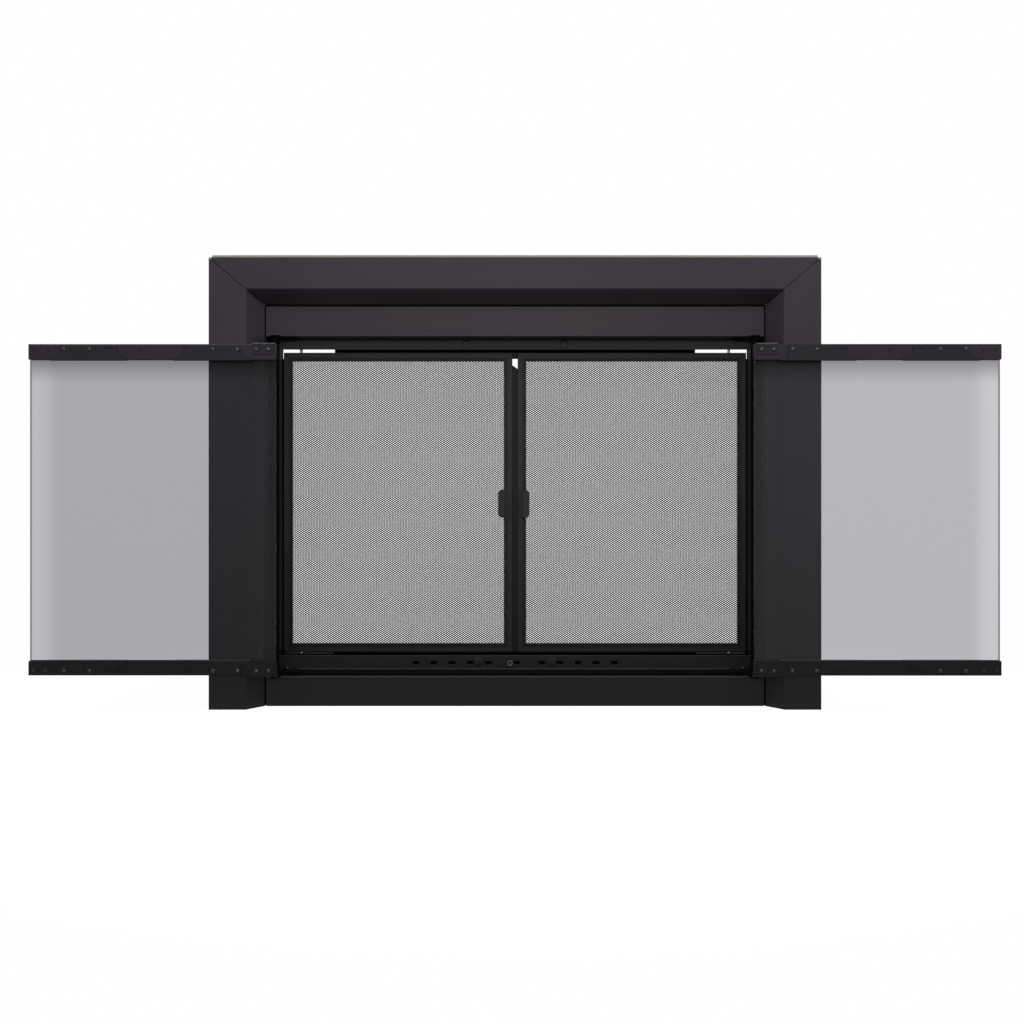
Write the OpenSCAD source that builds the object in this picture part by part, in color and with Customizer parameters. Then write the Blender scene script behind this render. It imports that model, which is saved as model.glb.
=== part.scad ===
// Fireplace glass door: a pressed-steel surround with two folding glass doors in front of two mesh doors.
// Millimetres. X runs along the front, Z is up, and the front faces -Y.
// The origin is the middle of the frame's bottom edge, where the hearth meets the wall.
// The glass doors are drawn folded right back, and the mesh doors closed.

/* [Surround] */
// Width over the two side members
frame_w = 1024; // [960:2:1200]
// Height from the hearth to the top edge
frame_h = 756; // [700:2:900]
// Depth from the wall to the front bands
frame_d = 98; // [92:1:112]
// Width of each side member's flat band
side_band = 62; // [50:1:74]
// Height of the top member's flat band
top_band = 53; // [42:1:64]
// Width that the bevel takes from the opening at each side
bevel_w = 25.5; // [20:0.5:32]
// Depth that the bevel leads back from the bands
bevel_d = 32; // [26:1:36]
// Thickness of the surround's steel sheet
sheet = 1.5; // [1:0.1:2]
// Width of the flanges that lie on the wall
wall_flange = 22; // [15:1:40]
// Width of the side members' inner flanges
lip_flange = 14; // [10:1:20]
// Depth of the top member's inner lip
top_lip = 20; // [12:1:26]
// Seam between two mitred members
mitre_seam = 0.4; // [0.2:0.1:1]
// Clearance at the ends of pieces that fit between others
end_fit = 1.6; // [0.3:0.1:2.4]
// Thickness of the sealing strip on the top edge
seal_t = 5; // [3:0.5:8]
// Width of the sealing strip
seal_w = 50; // [30:1:70]
// Distance from the front band back to the sealing strip
seal_set = 10; // [4:1:20]

/* [Header, sill and jambs] */
// Height of the header plate
header_h = 52; // [40:1:70]
// Dark gap above the header plate
header_gap = 2; // [1:0.5:4]
// Height of the bottom rail
rail_h = 51; // [40:1:60]
// Depth of the inner header and the sill behind the plates
recess_d = 30; // [26:1:34]
// How far the inner header shows below the header plate
inner_drop = 18.5; // [16:0.5:24]
// Hidden part of the inner header above that
inner_rise = 30; // [24:1:40]
// Gap between the bottom rail and the sill's lower lip
sill_gap = 7; // [5:0.5:10]
// Height of the sill's face
sill_h = 23.5; // [22:0.5:30]
// How far the sill's lower lip stands forward
sill_lip = 8; // [4:0.5:9]
// Distance from each jamb inside the surround's lip
jamb_in = 18; // [14:0.5:24]
// Width of the lip along each jamb's back edge
jamb_lip = 5; // [3:0.5:6]

/* [Air slots and damper] */
// Slots on each side of the middle
slot_n = 5; // [3:1:7]
// Distance from the middle to the first slot
slot_first = 46; // [44:0.5:60]
// Distance from slot to slot
slot_pitch = 31.3; // [30:0.1:34]
// Length of a slot
slot_w = 12.6; // [10:0.1:13]
// Height of a slot
slot_h = 5; // [4:0.1:6]
// Travel of the damper plate
damper_travel = 16; // [15:0.5:17]
// Thickness of the damper plate
damper_t = 1.2; // [0.8:0.1:1.5]
// Height of the damper plate
damper_h = 16; // [14:0.5:17]
// Diameter of the damper knob
knob_d = 10; // [8:0.5:12]
// How far the damper knob stands out
knob_out = 7; // [5:0.5:9]

/* [Glass doors] */
// Gap between the two closed glass doors
meeting_gap = 3; // [2.4:0.1:5]
// Depth of a door rail
door_d = 12; // [11:0.5:14]
// Height of the top rail
top_rail_h = 26; // [22:0.5:30]
// Height of the bottom rail of a door
low_rail_h = 24.4; // [22:0.5:30]
// Gap between the header plate and the doors
door_top_gap = 18; // [12:0.5:20]
// Gap between the bottom rail and the doors
door_low_gap = 8.3; // [7:0.1:10]
// Clearance between an open door and the front bands
door_clear = 2; // [1:0.5:4]
// How far a closed door is set behind the header plate
door_set = 2; // [0:0.5:4]
// Distance from the surround's lip to the hinge pin
hinge_in = 20.5; // [18:0.5:26]
// How far a door reaches past its hinge pin
hinge_over = 7.7; // [5:0.1:9]
// Thickness of the glass
glass_t = 4; // [3:0.5:5]
// Sheet thickness of the door rails
rail_t = 1.2; // [1:0.1:1.5]
// Thickness of the clips and hinge plates
plate_t = 1.5; // [1:0.1:2]
// Length of a clip's face
clip_w = 98; // [80:1:110]
// Length of a clip's lip on the glass
clip_lip_w = 128; // [115:1:140]
// Middle of the outer clip from the door's free end
clip_free = 99; // [90:1:104]
// Middle of the inner clip from the door's hinged end
clip_hinged = 106; // [102:1:112]
// Radius of the hinge pins
pin_r = 3; // [2.5:0.1:4]
// Height of the pull's middle above the door's bottom edge
pull_z = 9.4; // [8:0.1:11]
// How far the pull stands out of the door
pull_out = 24; // [18:1:26]

/* [Mesh doors] */
// Depth of the mesh doors behind the sill's face
mesh_set = 10; // [9:0.5:12]
// Depth of a mesh door's frame
mesh_d = 10; // [9:0.5:12]
// Width of the frame's bars
bar_w = 14.5; // [12:0.5:18]
// Sheet thickness of the bars
bar_t = 1.2; // [0.8:0.1:1.5]
// Gap between a mesh door and its jamb
mesh_side_gap = 5.8; // [4.5:0.1:8]
// Gap above the mesh doors
mesh_top_gap = 4.2; // [3:0.1:6]
// Gap below the mesh doors
mesh_low_gap = 4.4; // [3.4:0.1:6]
// Gap between the two mesh doors
mesh_meet_gap = 9; // [7:0.5:12]
// Distance from a mesh door's outer edge to its pivot
pivot_in = 29.7; // [24:0.1:31]
// Radius of the pivot pins
pivot_r = 2.5; // [2:0.1:3]
// Thickness of the mesh sheet
net_t = 1.2; // [0.8:0.1:1.5]
// Width of the mesh's strands
net_strand = 3; // [2:0.5:5]
// Diamonds across a mesh
net_cols = 7; // [5:1:8]
// Diamonds up a mesh
net_rows = 14; // [10:1:15]
// Length of a pull tab
tab_h = 48; // [30:1:60]
// Width of a pull tab's finger plate
tab_w = 10.2; // [8:0.1:12]
// How far a pull tab stands out
tab_out = 8; // [5:0.5:9]

/* [Fixings] */
// Distance from the middle to each lintel clamp
clamp_x = 84.5; // [60:0.5:120]
// Reach of the lintel clamps behind the wall's face
clamp_reach = 85; // [70:1:100]
// Height of a lintel clamp's upright
clamp_up = 56; // [44:1:70]
// Width of the lintel clamps
clamp_w = 25; // [20:1:32]
// Radius of the clamp bolts
bolt_r = 4; // [3:0.5:5]
// Distance from the middle to each hearth bracket
hearth_x = 63; // [61:0.5:64]
// Radius of the hearth anchor holes
anchor_r = 3.5; // [2.5:0.1:4]
// Radius of the truss screws' heads
truss_r = 7.6; // [6:0.1:8]
// Radius of the truss screws' shanks
truss_shank_r = 2; // [1.5:0.1:2.5]

/* [Hidden] */
$fn = 48;
over = 1;                // how far a cutter runs past what it cuts
run_fit = 0.05;          // radial clearance of a pin in its bore
slide_fit = 0.3;         // clearance of two pieces that slide or turn past each other

// Planes along Y, from the front bands back
front_y = -frame_d;
plate_y = front_y + bevel_d;
inner_y = plate_y + recess_d;
inner_back_y = inner_y + sheet;

// Surround: the mitre runs straight from the outer corner to the bevel's end
side_in = frame_w / 2 - side_band;
top_in = frame_h - top_band;
lip_x = side_in - bevel_w;
mitre_slope = top_band / side_band;
lip_z = top_in - bevel_w * mitre_slope;

// Header, sill and jambs
header_top = lip_z - header_gap;
header_bottom = header_top - header_h;
header_return = 12;      // depth of the header plate's top fold
header_up = header_gap - 0.4; // upturn at its back, under the top member's lip
header_tab = 20;         // height of the header plate's fixing flange
header_screw_x = [150, lip_x - 94.5];
header_tab_z = header_bottom + header_tab / 2;
inner_bottom = header_bottom - inner_drop;
inner_top = header_bottom + inner_rise;
inner_fold = 16;         // depth of the inner header's top fold
rail_tab = 21;           // height of the bottom rail's rear flange
sill_bottom = rail_h + sill_gap;
sill_top = sill_bottom + sill_h;
sill_back = 32;          // depth of the sill's top
sill_up = 3.6;           // upstand along its back edge
sill_lap = 12;           // its face passes this far down behind the bottom rail
jamb_x = lip_x - jamb_in;
inner_half = jamb_x;
jamb_lip_clear = 12;     // the jamb's lip ends this far below the inner header

// Air slots, damper and its knob
slot_z = sill_bottom + 11.1;
truss_z = slot_z + 2;
knob_x = -damper_travel / 2 - 0.6;
knob_shank_r = 1.9;
damper_y = inner_back_y + slide_fit;
damper_end = 8;          // plate past its last window
damper_half = slot_first + (slot_n - 1) * slot_pitch + slot_w / 2 + damper_end;

// Glass doors, folded back
open_front_y = front_y - door_clear;
closed_front_y = plate_y + door_set;
hinge_y = (open_front_y + closed_front_y) / 2;
hinge_x = lip_x - hinge_in;
open_back_y = open_front_y - door_d;
door_top = header_bottom - door_top_gap;
door_bottom = rail_h + door_low_gap;
rail_len = hinge_x + hinge_over - meeting_gap / 2;
door_near = hinge_x - hinge_over;
door_far = door_near + rail_len;
pad_t = (door_d - 2 * rail_t - glass_t) / 2;
pad_h = 18;
glass_near = 1;          // the glass stops short of the rail's hinged end
glass_far = 1;           // and of its free end
glass_mid_y = open_front_y - door_d / 2;
lip_low = plate_t + 0.2; // how far a clip's lip passes the rail's edge
clip_band = 5;           // height of a clip's widest part
clip_shoulder = 5;       // height of the slope from its face to its lip
clip_top = 3.4;          // bare rail above a clip
clip_slot_w = 17;        // slot in a clip's face
clip_slot_h = 4.5;
end_screws = [9, 29.4];  // the two screws at the free end, from that end
mid_screw = 183.3;       // the screw between the clips, from the free end
screw_in = 8.7;          // screw line from the rail's outer edge
pan_r = 3.6;
pan_h = 2;
pan_shank_r = 1.6;
pull_post_r = 3;
grip_w = 40;
grip_h = 11;
grip_t = 7;

// Hinge plates and their brackets
leaf_w = 34.5;            // length of a hinge plate along its rail
leaf_h = 17.4;           // height of a hinge plate on its rail
leaf_in = 4.2;           // hinge plate from the rail's hinged end
leaf_r = 7;              // radius of the leaf around its pin
leaf_screws = [7.5, 27.8]; // screws from the hinge plate's near edge
bracket_t = 2;
bracket_r = 8;
bracket_tab_w = 40;
bracket_tab_front = 6;   // the tab starts this far behind the plates
bracket_tab_back = 2;    // and ends this far before the inner faces
spacer_r = 6;
pin_past = 4;            // how far a hinge pin passes its leaf

// Mesh doors, closed
mesh_y = inner_y + mesh_set;
mesh_back_y = mesh_y + mesh_d;
mesh_out = jamb_x - mesh_side_gap;
mesh_top = inner_bottom - mesh_top_gap;
mesh_low = sill_top + mesh_low_gap;
meet_x = mesh_meet_gap / 2;
pivot_x = mesh_out - pivot_in;
pivot_y = mesh_y + mesh_d / 2;
net_lap = 7;             // how far the mesh lies on the bars
tab_z = 343;             // height of the pull tabs' middle
tab_foot = 6;
tab_t = 1.2;
tab_cut = 4;
right_tab_in = 4.6;      // the right tab's plate sits this much nearer the middle
collar_r = pivot_r + 1.1;
collar_h = 4;
strip_w = 17;            // width of the meeting strip
strip_edge = 4.1;        // how far it reaches past the middle
strip_t = 1.2;
strip_top_gap = 20.7;    // meeting strip below the mesh doors' top
strip_slant = 6.4;       // drop of its slanted top end

// Pivot brackets of the mesh doors
pivot_plate_t = 1.5;
top_pivot_gap = 3.6;     // the top bracket stays this far above the inner header's edge
top_pivot_w = 30;
top_pivot_d = 24;
top_pivot_h = 20;
low_pivot_x = [-30, 56]; // the bottom bracket's ends, outwards and inwards from the pivot
low_pivot_d = 20;
pin_top_past = 3;
pin_low_past = 3.5;
sill_pin_r = pivot_r + 1.5;

// Stop strip and catch of the mesh doors
stop_t = 1.2;
stop_short = 42;         // the strip's ends stop this short of the top pivot brackets
stop_half = pivot_x - top_pivot_w / 2 - stop_short;
stop_gap = 2;            // room between the mesh doors' backs and the strip
stop_low = 13.6;         // the strip ends this far below the inner header
stop_up = 3;             // its shelf lies this far above the inner header's edge
stop_tab = 16;
stop_y = mesh_back_y + stop_gap;
catch_r = 5.5;
catch_z = inner_bottom - 7.4;

// Lintel clamps, their bolts and the hearth brackets
header_screw_z = inner_bottom + 8.6;
clamp_t = 2;
clamp_y = inner_back_y + stop_t;
clamp_z = inner_bottom + stop_up + stop_t + 0.8;
clamp_leg = 20;
clamp_bolt_z = clamp_z + 36;
clamp_bolt_front = 40;
bolt_tail = 22;
nut_h = 7;
wing_half = 16;
wing_h = 12;
wing_t = 3;
hearth_t = 2;
hearth_w = 40;
hearth_gap = 0.4;        // room between the damper plate and the hearth brackets
hearth_y = damper_y + damper_t + hearth_gap;
hearth_top = slot_z + 9;
hearth_foot_back = 6;
anchor_y = -16;

// Corner brackets and their screws
corner_t = 2;
corner_leg = 110;
corner_inset = 5;
corner_screw_at = [62, 94];
jamb_screw_n = 4;
jamb_screw_x = lip_x + lip_flange / 2;
fix_screw_x = inner_half - 13.2; // the small screws at the sill's ends
fix_screw_z = sill_bottom + 1.2;
notch_x = inner_half - 36; // the sill's lip ends this far from the middle

/* ---- helpers ---- */

function unit(v) = v / norm(v);
function left_of(a, b) = unit([a[1] - b[1], b[0] - a[0]]);
function side_point(path, i, t) =
    let (last = len(path) - 1,
        before = left_of(path[max(i - 1, 0)], path[max(i, 1)]),
        after = left_of(path[min(i, last - 1)], path[min(i + 1, last)]),
        middle = unit(before + after))
    path[i] + middle * t / (middle * before);
function clamped(v, lo, hi) = min(max(v, lo), hi);

// Section of a folded sheet: its outer line, with the thickness to the left, or to the right if negative
module folded(path, t) {
    polygon(concat(path, [for (i = [len(path) - 1 : -1 : 0]) side_point(path, i, t)]));
}

// A section drawn as (z, y), run along X
module across(w, x = 0) {
    translate([x, 0, 0]) rotate([0, -90, 0]) linear_extrude(w, center = true) children();
}

// A shape drawn as (x, z), run from y0 back to y1
module facing(y0, y1) {
    translate([0, y1, 0]) rotate([90, 0, 0]) linear_extrude(y1 - y0) children();
}

// A shape drawn as (x, y), run from z0 up to z1
module rising(z0, z1) {
    translate([0, 0, z0]) linear_extrude(z1 - z0) children();
}

module both_sides() {
    children();
    mirror([1, 0, 0]) children();
}

module slot(w, h) {
    square([w - h, h], center = true);
    for (s = [-1, 1]) translate([s * (w - h) / 2, 0]) circle(h / 2);
}

// A hole along Y through everything from y0 to y1
module hole_y(x, z, r, y0, y1) {
    translate([x, y1, z]) rotate([90, 0, 0]) cylinder(h = y1 - y0, r = r);
}

// A screw with its head towards -Y and its seat at the given y
module screw(x, y, z, head_r, head_h, shank_r, length) {
    translate([x, y, z]) rotate([90, 0, 0]) {
        cylinder(h = head_h * 0.35, r = head_r);
        translate([0, 0, head_h * 0.35]) cylinder(h = head_h * 0.65, r1 = head_r, r2 = head_r * 0.6);
        translate([0, 0, -length]) cylinder(h = length, r = shank_r);
    }
}

module pan_screw(x, y, z, length) {
    screw(x, y, z, pan_r, pan_h, pan_shank_r, length);
}

/* ---- surround ---- */

function mitre_x(z) = frame_w / 2 - (frame_h - z) / mitre_slope;

// The region above the two mitres, moved up by the given shift
module top_zone(shift) {
    z0 = lip_z - 2 * over;
    z1 = frame_h + 2 * over;
    facing(front_y - over, over)
        polygon([[-mitre_x(z1), z1 + shift], [mitre_x(z1), z1 + shift],
            [mitre_x(z0), z0 + shift], [-mitre_x(z0), z0 + shift]]);
}

module surround_top() {
    color("#423c42") intersection() {
        across(frame_w + 2 * over)
            folded([[frame_h - wall_flange, 0], [frame_h, 0], [frame_h, front_y], [top_in, front_y],
                [lip_z, plate_y], [lip_z, plate_y + top_lip]], -sheet);
        top_zone(mitre_seam / 2);
    }
}

module jamb_screw_holes() {
    for (i = [0 : jamb_screw_n - 1])
        hole_y(jamb_screw_x, jamb_screw_z(i), pan_shank_r + run_fit, inner_y - sheet - over,
            inner_back_y + over);
}

module surround_side() {
    color("#3b363c") difference() {
        rising(0, frame_h)
            folded([[frame_w / 2 - wall_flange, 0], [frame_w / 2, 0], [frame_w / 2, front_y],
                [side_in, front_y], [lip_x, plate_y], [lip_x, inner_y],
                [lip_x + lip_flange, inner_y]], -sheet);
        top_zone(-mitre_seam / 2);
        jamb_screw_holes();
    }
}

module surround_right() { surround_side(); }
module surround_left() { mirror([1, 0, 0]) surround_side(); }

module sealing_strip() {
    color("#c9cfc6") across(frame_w - 2 * sheet - seal_t)
        translate([frame_h, front_y + seal_set]) square([seal_t, seal_w]);
}

// Places of a corner bracket's screws, as (x, z)
function corner_screws() =
    let (x1 = frame_w / 2 - sheet - corner_inset, z1 = frame_h - sheet - corner_inset,
        mid_x = (x1 + side_in + corner_inset) / 2, mid_z = (z1 + top_in + corner_inset) / 2)
    [for (d = corner_screw_at) each [[x1 - d, mid_z], [mid_x, z1 - d]]];

// Height of jamb screw i
function jamb_screw_z(i) =
    rail_h + (i + 0.5) * (inner_bottom - rail_h) / jamb_screw_n;

module corner_brackets() {
    x1 = frame_w / 2 - sheet - corner_inset;
    z1 = frame_h - sheet - corner_inset;
    xi = side_in + corner_inset;
    zi = top_in + corner_inset;
    y0 = front_y + sheet;
    color("#1c1c1c") both_sides() difference() {
        facing(y0, y0 + corner_t)
            polygon([[x1 - corner_leg, z1], [x1, z1], [x1, z1 - corner_leg], [xi, z1 - corner_leg],
                [xi, zi], [x1 - corner_leg, zi]]);
        for (p = corner_screws()) hole_y(p[0], p[1], pan_shank_r + run_fit, y0 - over, y0 + corner_t + over);
    }
}

/* ---- header, rail, sill and jambs ---- */

module header_screw_holes() {
    both_sides() for (x = header_screw_x)
        hole_y(x, header_tab_z, pan_shank_r + run_fit, inner_y - sheet - over, inner_back_y + over);
}

module header_plate() {
    color("#363136") difference() {
        across(2 * (lip_x - end_fit))
            folded([[header_top + header_up, plate_y + header_return],
                [header_top, plate_y + header_return], [header_top, plate_y], [header_bottom, plate_y],
                [header_bottom, inner_y], [header_bottom + header_tab, inner_y]], -sheet);
        header_screw_holes();
    }
}

module bottom_rail() {
    color("#1f1f1f") difference() {
        across(2 * (lip_x - end_fit))
            folded([[0, 0], [0, plate_y], [rail_h, plate_y], [rail_h, inner_y],
                [rail_h - rail_tab, inner_y]], sheet);
        both_sides() translate([hearth_x, anchor_y, -over]) cylinder(h = sheet + 2 * over, r = anchor_r);
    }
}

module inner_header() {
    color("#262626") difference() {
        across(2 * inner_half)
            folded([[inner_top, inner_y + inner_fold], [inner_top, inner_y], [inner_bottom, inner_y]],
                -sheet);
        both_sides() hole_y(clamp_x, header_screw_z, truss_shank_r + run_fit, inner_y - over,
            inner_back_y + over);
        header_screw_holes();
    }
}

// Centre of slot i on the right-hand side
function slot_x(i) = slot_first + i * slot_pitch;

module sill() {
    color("#1a1a1a") difference() {
        union() {
            across(2 * inner_half)
                folded([[sill_top + sill_up, inner_y + sill_back], [sill_top, inner_y + sill_back],
                    [sill_top, inner_y], [rail_h - sill_lap, inner_y]], -sheet);
            across(2 * notch_x)
                translate([sill_bottom, inner_y - sill_lip]) square([sheet, sill_lip + sheet / 2]);
        }
        facing(inner_y - over, inner_back_y + over) {
            for (s = [-1, 1], i = [0 : slot_n - 1]) translate([s * slot_x(i), slot_z]) slot(slot_w, slot_h);
            translate([knob_x + damper_travel / 2, slot_z])
                slot(damper_travel + 2 * (knob_shank_r + slide_fit), 2 * (knob_shank_r + slide_fit));
        }
        both_sides() {
            hole_y(hearth_x, truss_z, truss_shank_r + run_fit, inner_y - over, inner_back_y + over);
            hole_y(fix_screw_x, fix_screw_z, pan_shank_r + run_fit, inner_y - over, inner_back_y + over);
            translate([pivot_x, pivot_y, sill_top - sheet - over])
                cylinder(h = sheet + 2 * over, r = sill_pin_r);
        }
    }
}

module jamb() {
    color("#121212") difference() {
        rising(sheet, inner_top)
            folded([[lip_x + lip_flange, inner_y], [jamb_x, inner_y], [jamb_x, -sheet],
                [jamb_x - jamb_lip, -sheet]], -sheet);
        translate([jamb_x - jamb_lip - over, -sheet - over, inner_bottom - jamb_lip_clear])
            cube([jamb_lip + over, sheet + 2 * over, inner_top]);
        jamb_screw_holes();
    }
}

module jamb_right() { jamb(); }
module jamb_left() { mirror([1, 0, 0]) jamb(); }

/* ---- stops, brackets and pins on the frame ---- */

module mesh_stop_strip() {
    z = inner_bottom + stop_up;
    color("#202020") difference() {
        across(2 * stop_half)
            folded([[z + stop_tab, inner_back_y], [z, inner_back_y], [z, stop_y],
                [inner_bottom - stop_low, stop_y]], -stop_t);
        both_sides() hole_y(clamp_x, header_screw_z, truss_shank_r + run_fit, inner_y, clamp_y + over);
    }
}

module mesh_catch() {
    thick = stop_gap - 2 * slide_fit;
    color("#101010") hole_y(0, catch_z, catch_r, stop_y - thick, stop_y);
}

module hinge_bracket(z0) {
    x1 = hinge_x + bracket_r;
    x0 = x1 - bracket_tab_w;
    y0 = plate_y + bracket_tab_front;
    y1 = inner_y - bracket_tab_back;
    rising(z0, z0 + bracket_t) difference() {
        union() {
            translate([x0, y0]) square([bracket_tab_w, y1 - y0]);
            translate([x1 - 2 * bracket_r, hinge_y]) square([2 * bracket_r, y1 - hinge_y]);
            translate([hinge_x, hinge_y]) circle(bracket_r);
        }
        translate([hinge_x, hinge_y]) circle(pin_r + run_fit);
    }
}

module top_hinge_brackets() {
    color("#1c1c1d") both_sides() hinge_bracket(header_bottom - bracket_t);
}

module bottom_hinge_brackets() {
    color("#1c1c1d") both_sides() hinge_bracket(rail_h);
}

module hinge_pins() {
    leaf_low = door_bottom - plate_t;
    color("#2a2a2c") both_sides() translate([hinge_x, hinge_y, 0]) {
        rising(rail_h, leaf_low + plate_t + pin_past) circle(pin_r);
        rising(door_top - pin_past, header_bottom) circle(pin_r);
    }
}

module hinge_spacers() {
    color("#8d8d90") both_sides() translate([hinge_x, hinge_y, 0])
        rising(rail_h + bracket_t, door_bottom - plate_t - slide_fit) difference() {
            circle(spacer_r);
            circle(pin_r + run_fit);
        }
}

module top_pivot_brackets() {
    z = inner_bottom + top_pivot_gap;
    color("#262626") both_sides() difference() {
        across(top_pivot_w, pivot_x)
            folded([[z + top_pivot_h, inner_back_y], [z, inner_back_y], [z, inner_back_y + top_pivot_d]],
                -pivot_plate_t);
        translate([pivot_x, pivot_y, z - over])
            cylinder(h = pivot_plate_t + 2 * over, r = pivot_r + run_fit);
    }
}

module bottom_pivot_brackets() {
    x0 = pivot_x - low_pivot_x[1];
    x1 = pivot_x - low_pivot_x[0];
    color("#2b2b2c") both_sides() rising(sill_top, sill_top + pivot_plate_t) difference() {
        translate([x0, pivot_y - low_pivot_d / 2]) square([x1 - x0, low_pivot_d]);
        translate([pivot_x, pivot_y]) circle(pivot_r + run_fit);
    }
}

/* ---- fixings ---- */

module lintel_clamps() {
    color("#6f6f74") both_sides() difference() {
        across(clamp_w, clamp_x)
            folded([[clamp_z + clamp_leg, clamp_y], [clamp_z, clamp_y], [clamp_z, clamp_reach],
                [clamp_z + clamp_up, clamp_reach]], -clamp_t);
        hole_y(clamp_x, header_screw_z, truss_shank_r + run_fit, clamp_y - over, clamp_y + clamp_t + over);
        hole_y(clamp_x, clamp_bolt_z, bolt_r + run_fit, clamp_reach - clamp_t - over, clamp_reach + over);
    }
}

module clamp_nuts() {
    y1 = clamp_reach - clamp_t;
    color("#8a8a8e") both_sides() difference() {
        translate([clamp_x, y1, clamp_bolt_z]) rotate([90, 0, 0])
            cylinder(h = nut_h, r = 2 * bolt_r, $fn = 6);
        hole_y(clamp_x, clamp_bolt_z, bolt_r + run_fit, y1 - nut_h - over, y1 + over);
    }
}

module clamp_bolts() {
    y1 = clamp_reach + bolt_tail;
    color("#8a8a8e") both_sides() {
        hole_y(clamp_x, clamp_bolt_z, bolt_r, clamp_bolt_front, y1);
        hole_y(clamp_x, clamp_bolt_z, 1.8 * bolt_r, y1 - wing_h, y1);
        facing(y1 - wing_h, y1) translate([clamp_x, clamp_bolt_z])
            square([2 * wing_half, wing_t], center = true);
    }
}

module hearth_brackets() {
    color("#1c1c1c") both_sides() difference() {
        across(hearth_w, hearth_x)
            folded([[hearth_top, hearth_y], [sheet, hearth_y], [sheet, -hearth_foot_back]], -hearth_t);
        hole_y(hearth_x, truss_z, truss_shank_r + run_fit, hearth_y - over, hearth_y + hearth_t + over);
        translate([hearth_x, anchor_y, 0]) cylinder(h = sheet + hearth_t + over, r = anchor_r);
    }
}

module bracket_screws() {
    color("#2a2a2b") both_sides() {
        screw(clamp_x, inner_y, header_screw_z, truss_r, pan_h, truss_shank_r, clamp_y + clamp_t - inner_y);
        screw(hearth_x, inner_y, truss_z, truss_r, pan_h, truss_shank_r, hearth_y + hearth_t - inner_y);
    }
}

// A small screw whose head lies on the back of a sheet and whose shank points to the front
module back_screw(x, y, z, length) {
    translate([x, y, z]) rotate([0, 0, 180]) pan_screw(0, 0, 0, length);
}

module frame_screws() {
    color("#3a3a3c") both_sides() {
        for (p = corner_screws()) back_screw(p[0], front_y + sheet + corner_t, p[1], corner_t);
        for (i = [0 : jamb_screw_n - 1])
            back_screw(jamb_screw_x, inner_back_y, jamb_screw_z(i), 2 * sheet);
        for (x = header_screw_x) back_screw(x, inner_back_y, header_tab_z, 2 * sheet);
        pan_screw(fix_screw_x, inner_y, fix_screw_z, sheet);
    }
}

/* ---- damper ---- */

module damper_plate() {
    color("#161616") facing(damper_y, damper_y + damper_t) difference() {
        translate([-damper_half - damper_travel, slot_z - damper_h / 2])
            square([2 * damper_half + damper_travel, damper_h]);
        for (s = [-1, 1]) {
            for (i = [0 : slot_n - 1])
                translate([s * slot_x(i) - damper_travel, slot_z]) slot(slot_w, slot_h);
            translate([s * hearth_x - damper_travel / 2, truss_z])
                slot(damper_travel + 2 * (truss_shank_r + slide_fit), 2 * (truss_shank_r + slide_fit));
        }
    }
}

module damper_knob() {
    y0 = inner_y - slide_fit - knob_out;
    color("#8f8f93") difference() {
        union() {
            hole_y(knob_x, slot_z, knob_d / 2, y0, inner_y - slide_fit);
            hole_y(knob_x, slot_z, knob_shank_r, inner_y - slide_fit - over, damper_y);
        }
        hole_y(knob_x, slot_z, knob_d / 4, y0 - over, y0 + knob_out / 2);
    }
}

/* ---- glass doors, drawn for the right-hand side and folded back ---- */

// A rail's section: h is positive for the top rail and negative for the bottom one
module rail_section(edge, h, back, front, t) {
    folded([[edge - h, back], [edge, back], [edge, front], [edge - h, front]], sign(h) * t);
}

// X of a point at distance u from the door's free end
function at(u) = door_far - u;
// Each clip's middle, then its screws and its slot's middle from there
clips = [[at(clip_free), [clip_w / 2 - 10, -3], 11 - clip_w / 2],
    [door_near + clip_hinged, [6 - clip_w / 2, -2.5], clip_w / 2 - 12]];
leaf_x = door_near + leaf_in;

// X of every screw that goes through a clip or a hinge plate, and of those in the bare rail
function plate_screws() = concat([for (c = clips, d = c[1]) c[0] + d], [for (d = leaf_screws) leaf_x + d]);
function bare_screws(top) = concat([for (u = end_screws) at(u)], top ? [at(mid_screw)] : []);

module glass() {
    x0 = door_near + glass_near;
    translate([x0, glass_mid_y - glass_t / 2, door_bottom + rail_t + pad_t])
        cube([door_far - glass_far - x0, glass_t, door_top - door_bottom - 2 * (rail_t + pad_t)]);
}

module door_rail(edge, h, top) {
    difference() {
        across(rail_len, door_near + rail_len / 2) rail_section(edge, h, open_back_y, open_front_y, rail_t);
        for (x = concat(plate_screws(), bare_screws(top)))
            hole_y(x, edge - sign(h) * screw_in, pan_shank_r + run_fit, open_back_y - over,
                open_back_y + rail_t + over);
    }
}

module glass_pads() {
    x0 = door_near + glass_near;
    x1 = door_far - glass_far;
    for (e = [[door_top - rail_t, pad_h], [door_bottom + rail_t, -pad_h]])
        across(x1 - x0, (x0 + x1) / 2)
            rail_section(e[0], e[1], open_back_y + rail_t, open_front_y - rail_t, pad_t);
}

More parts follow.
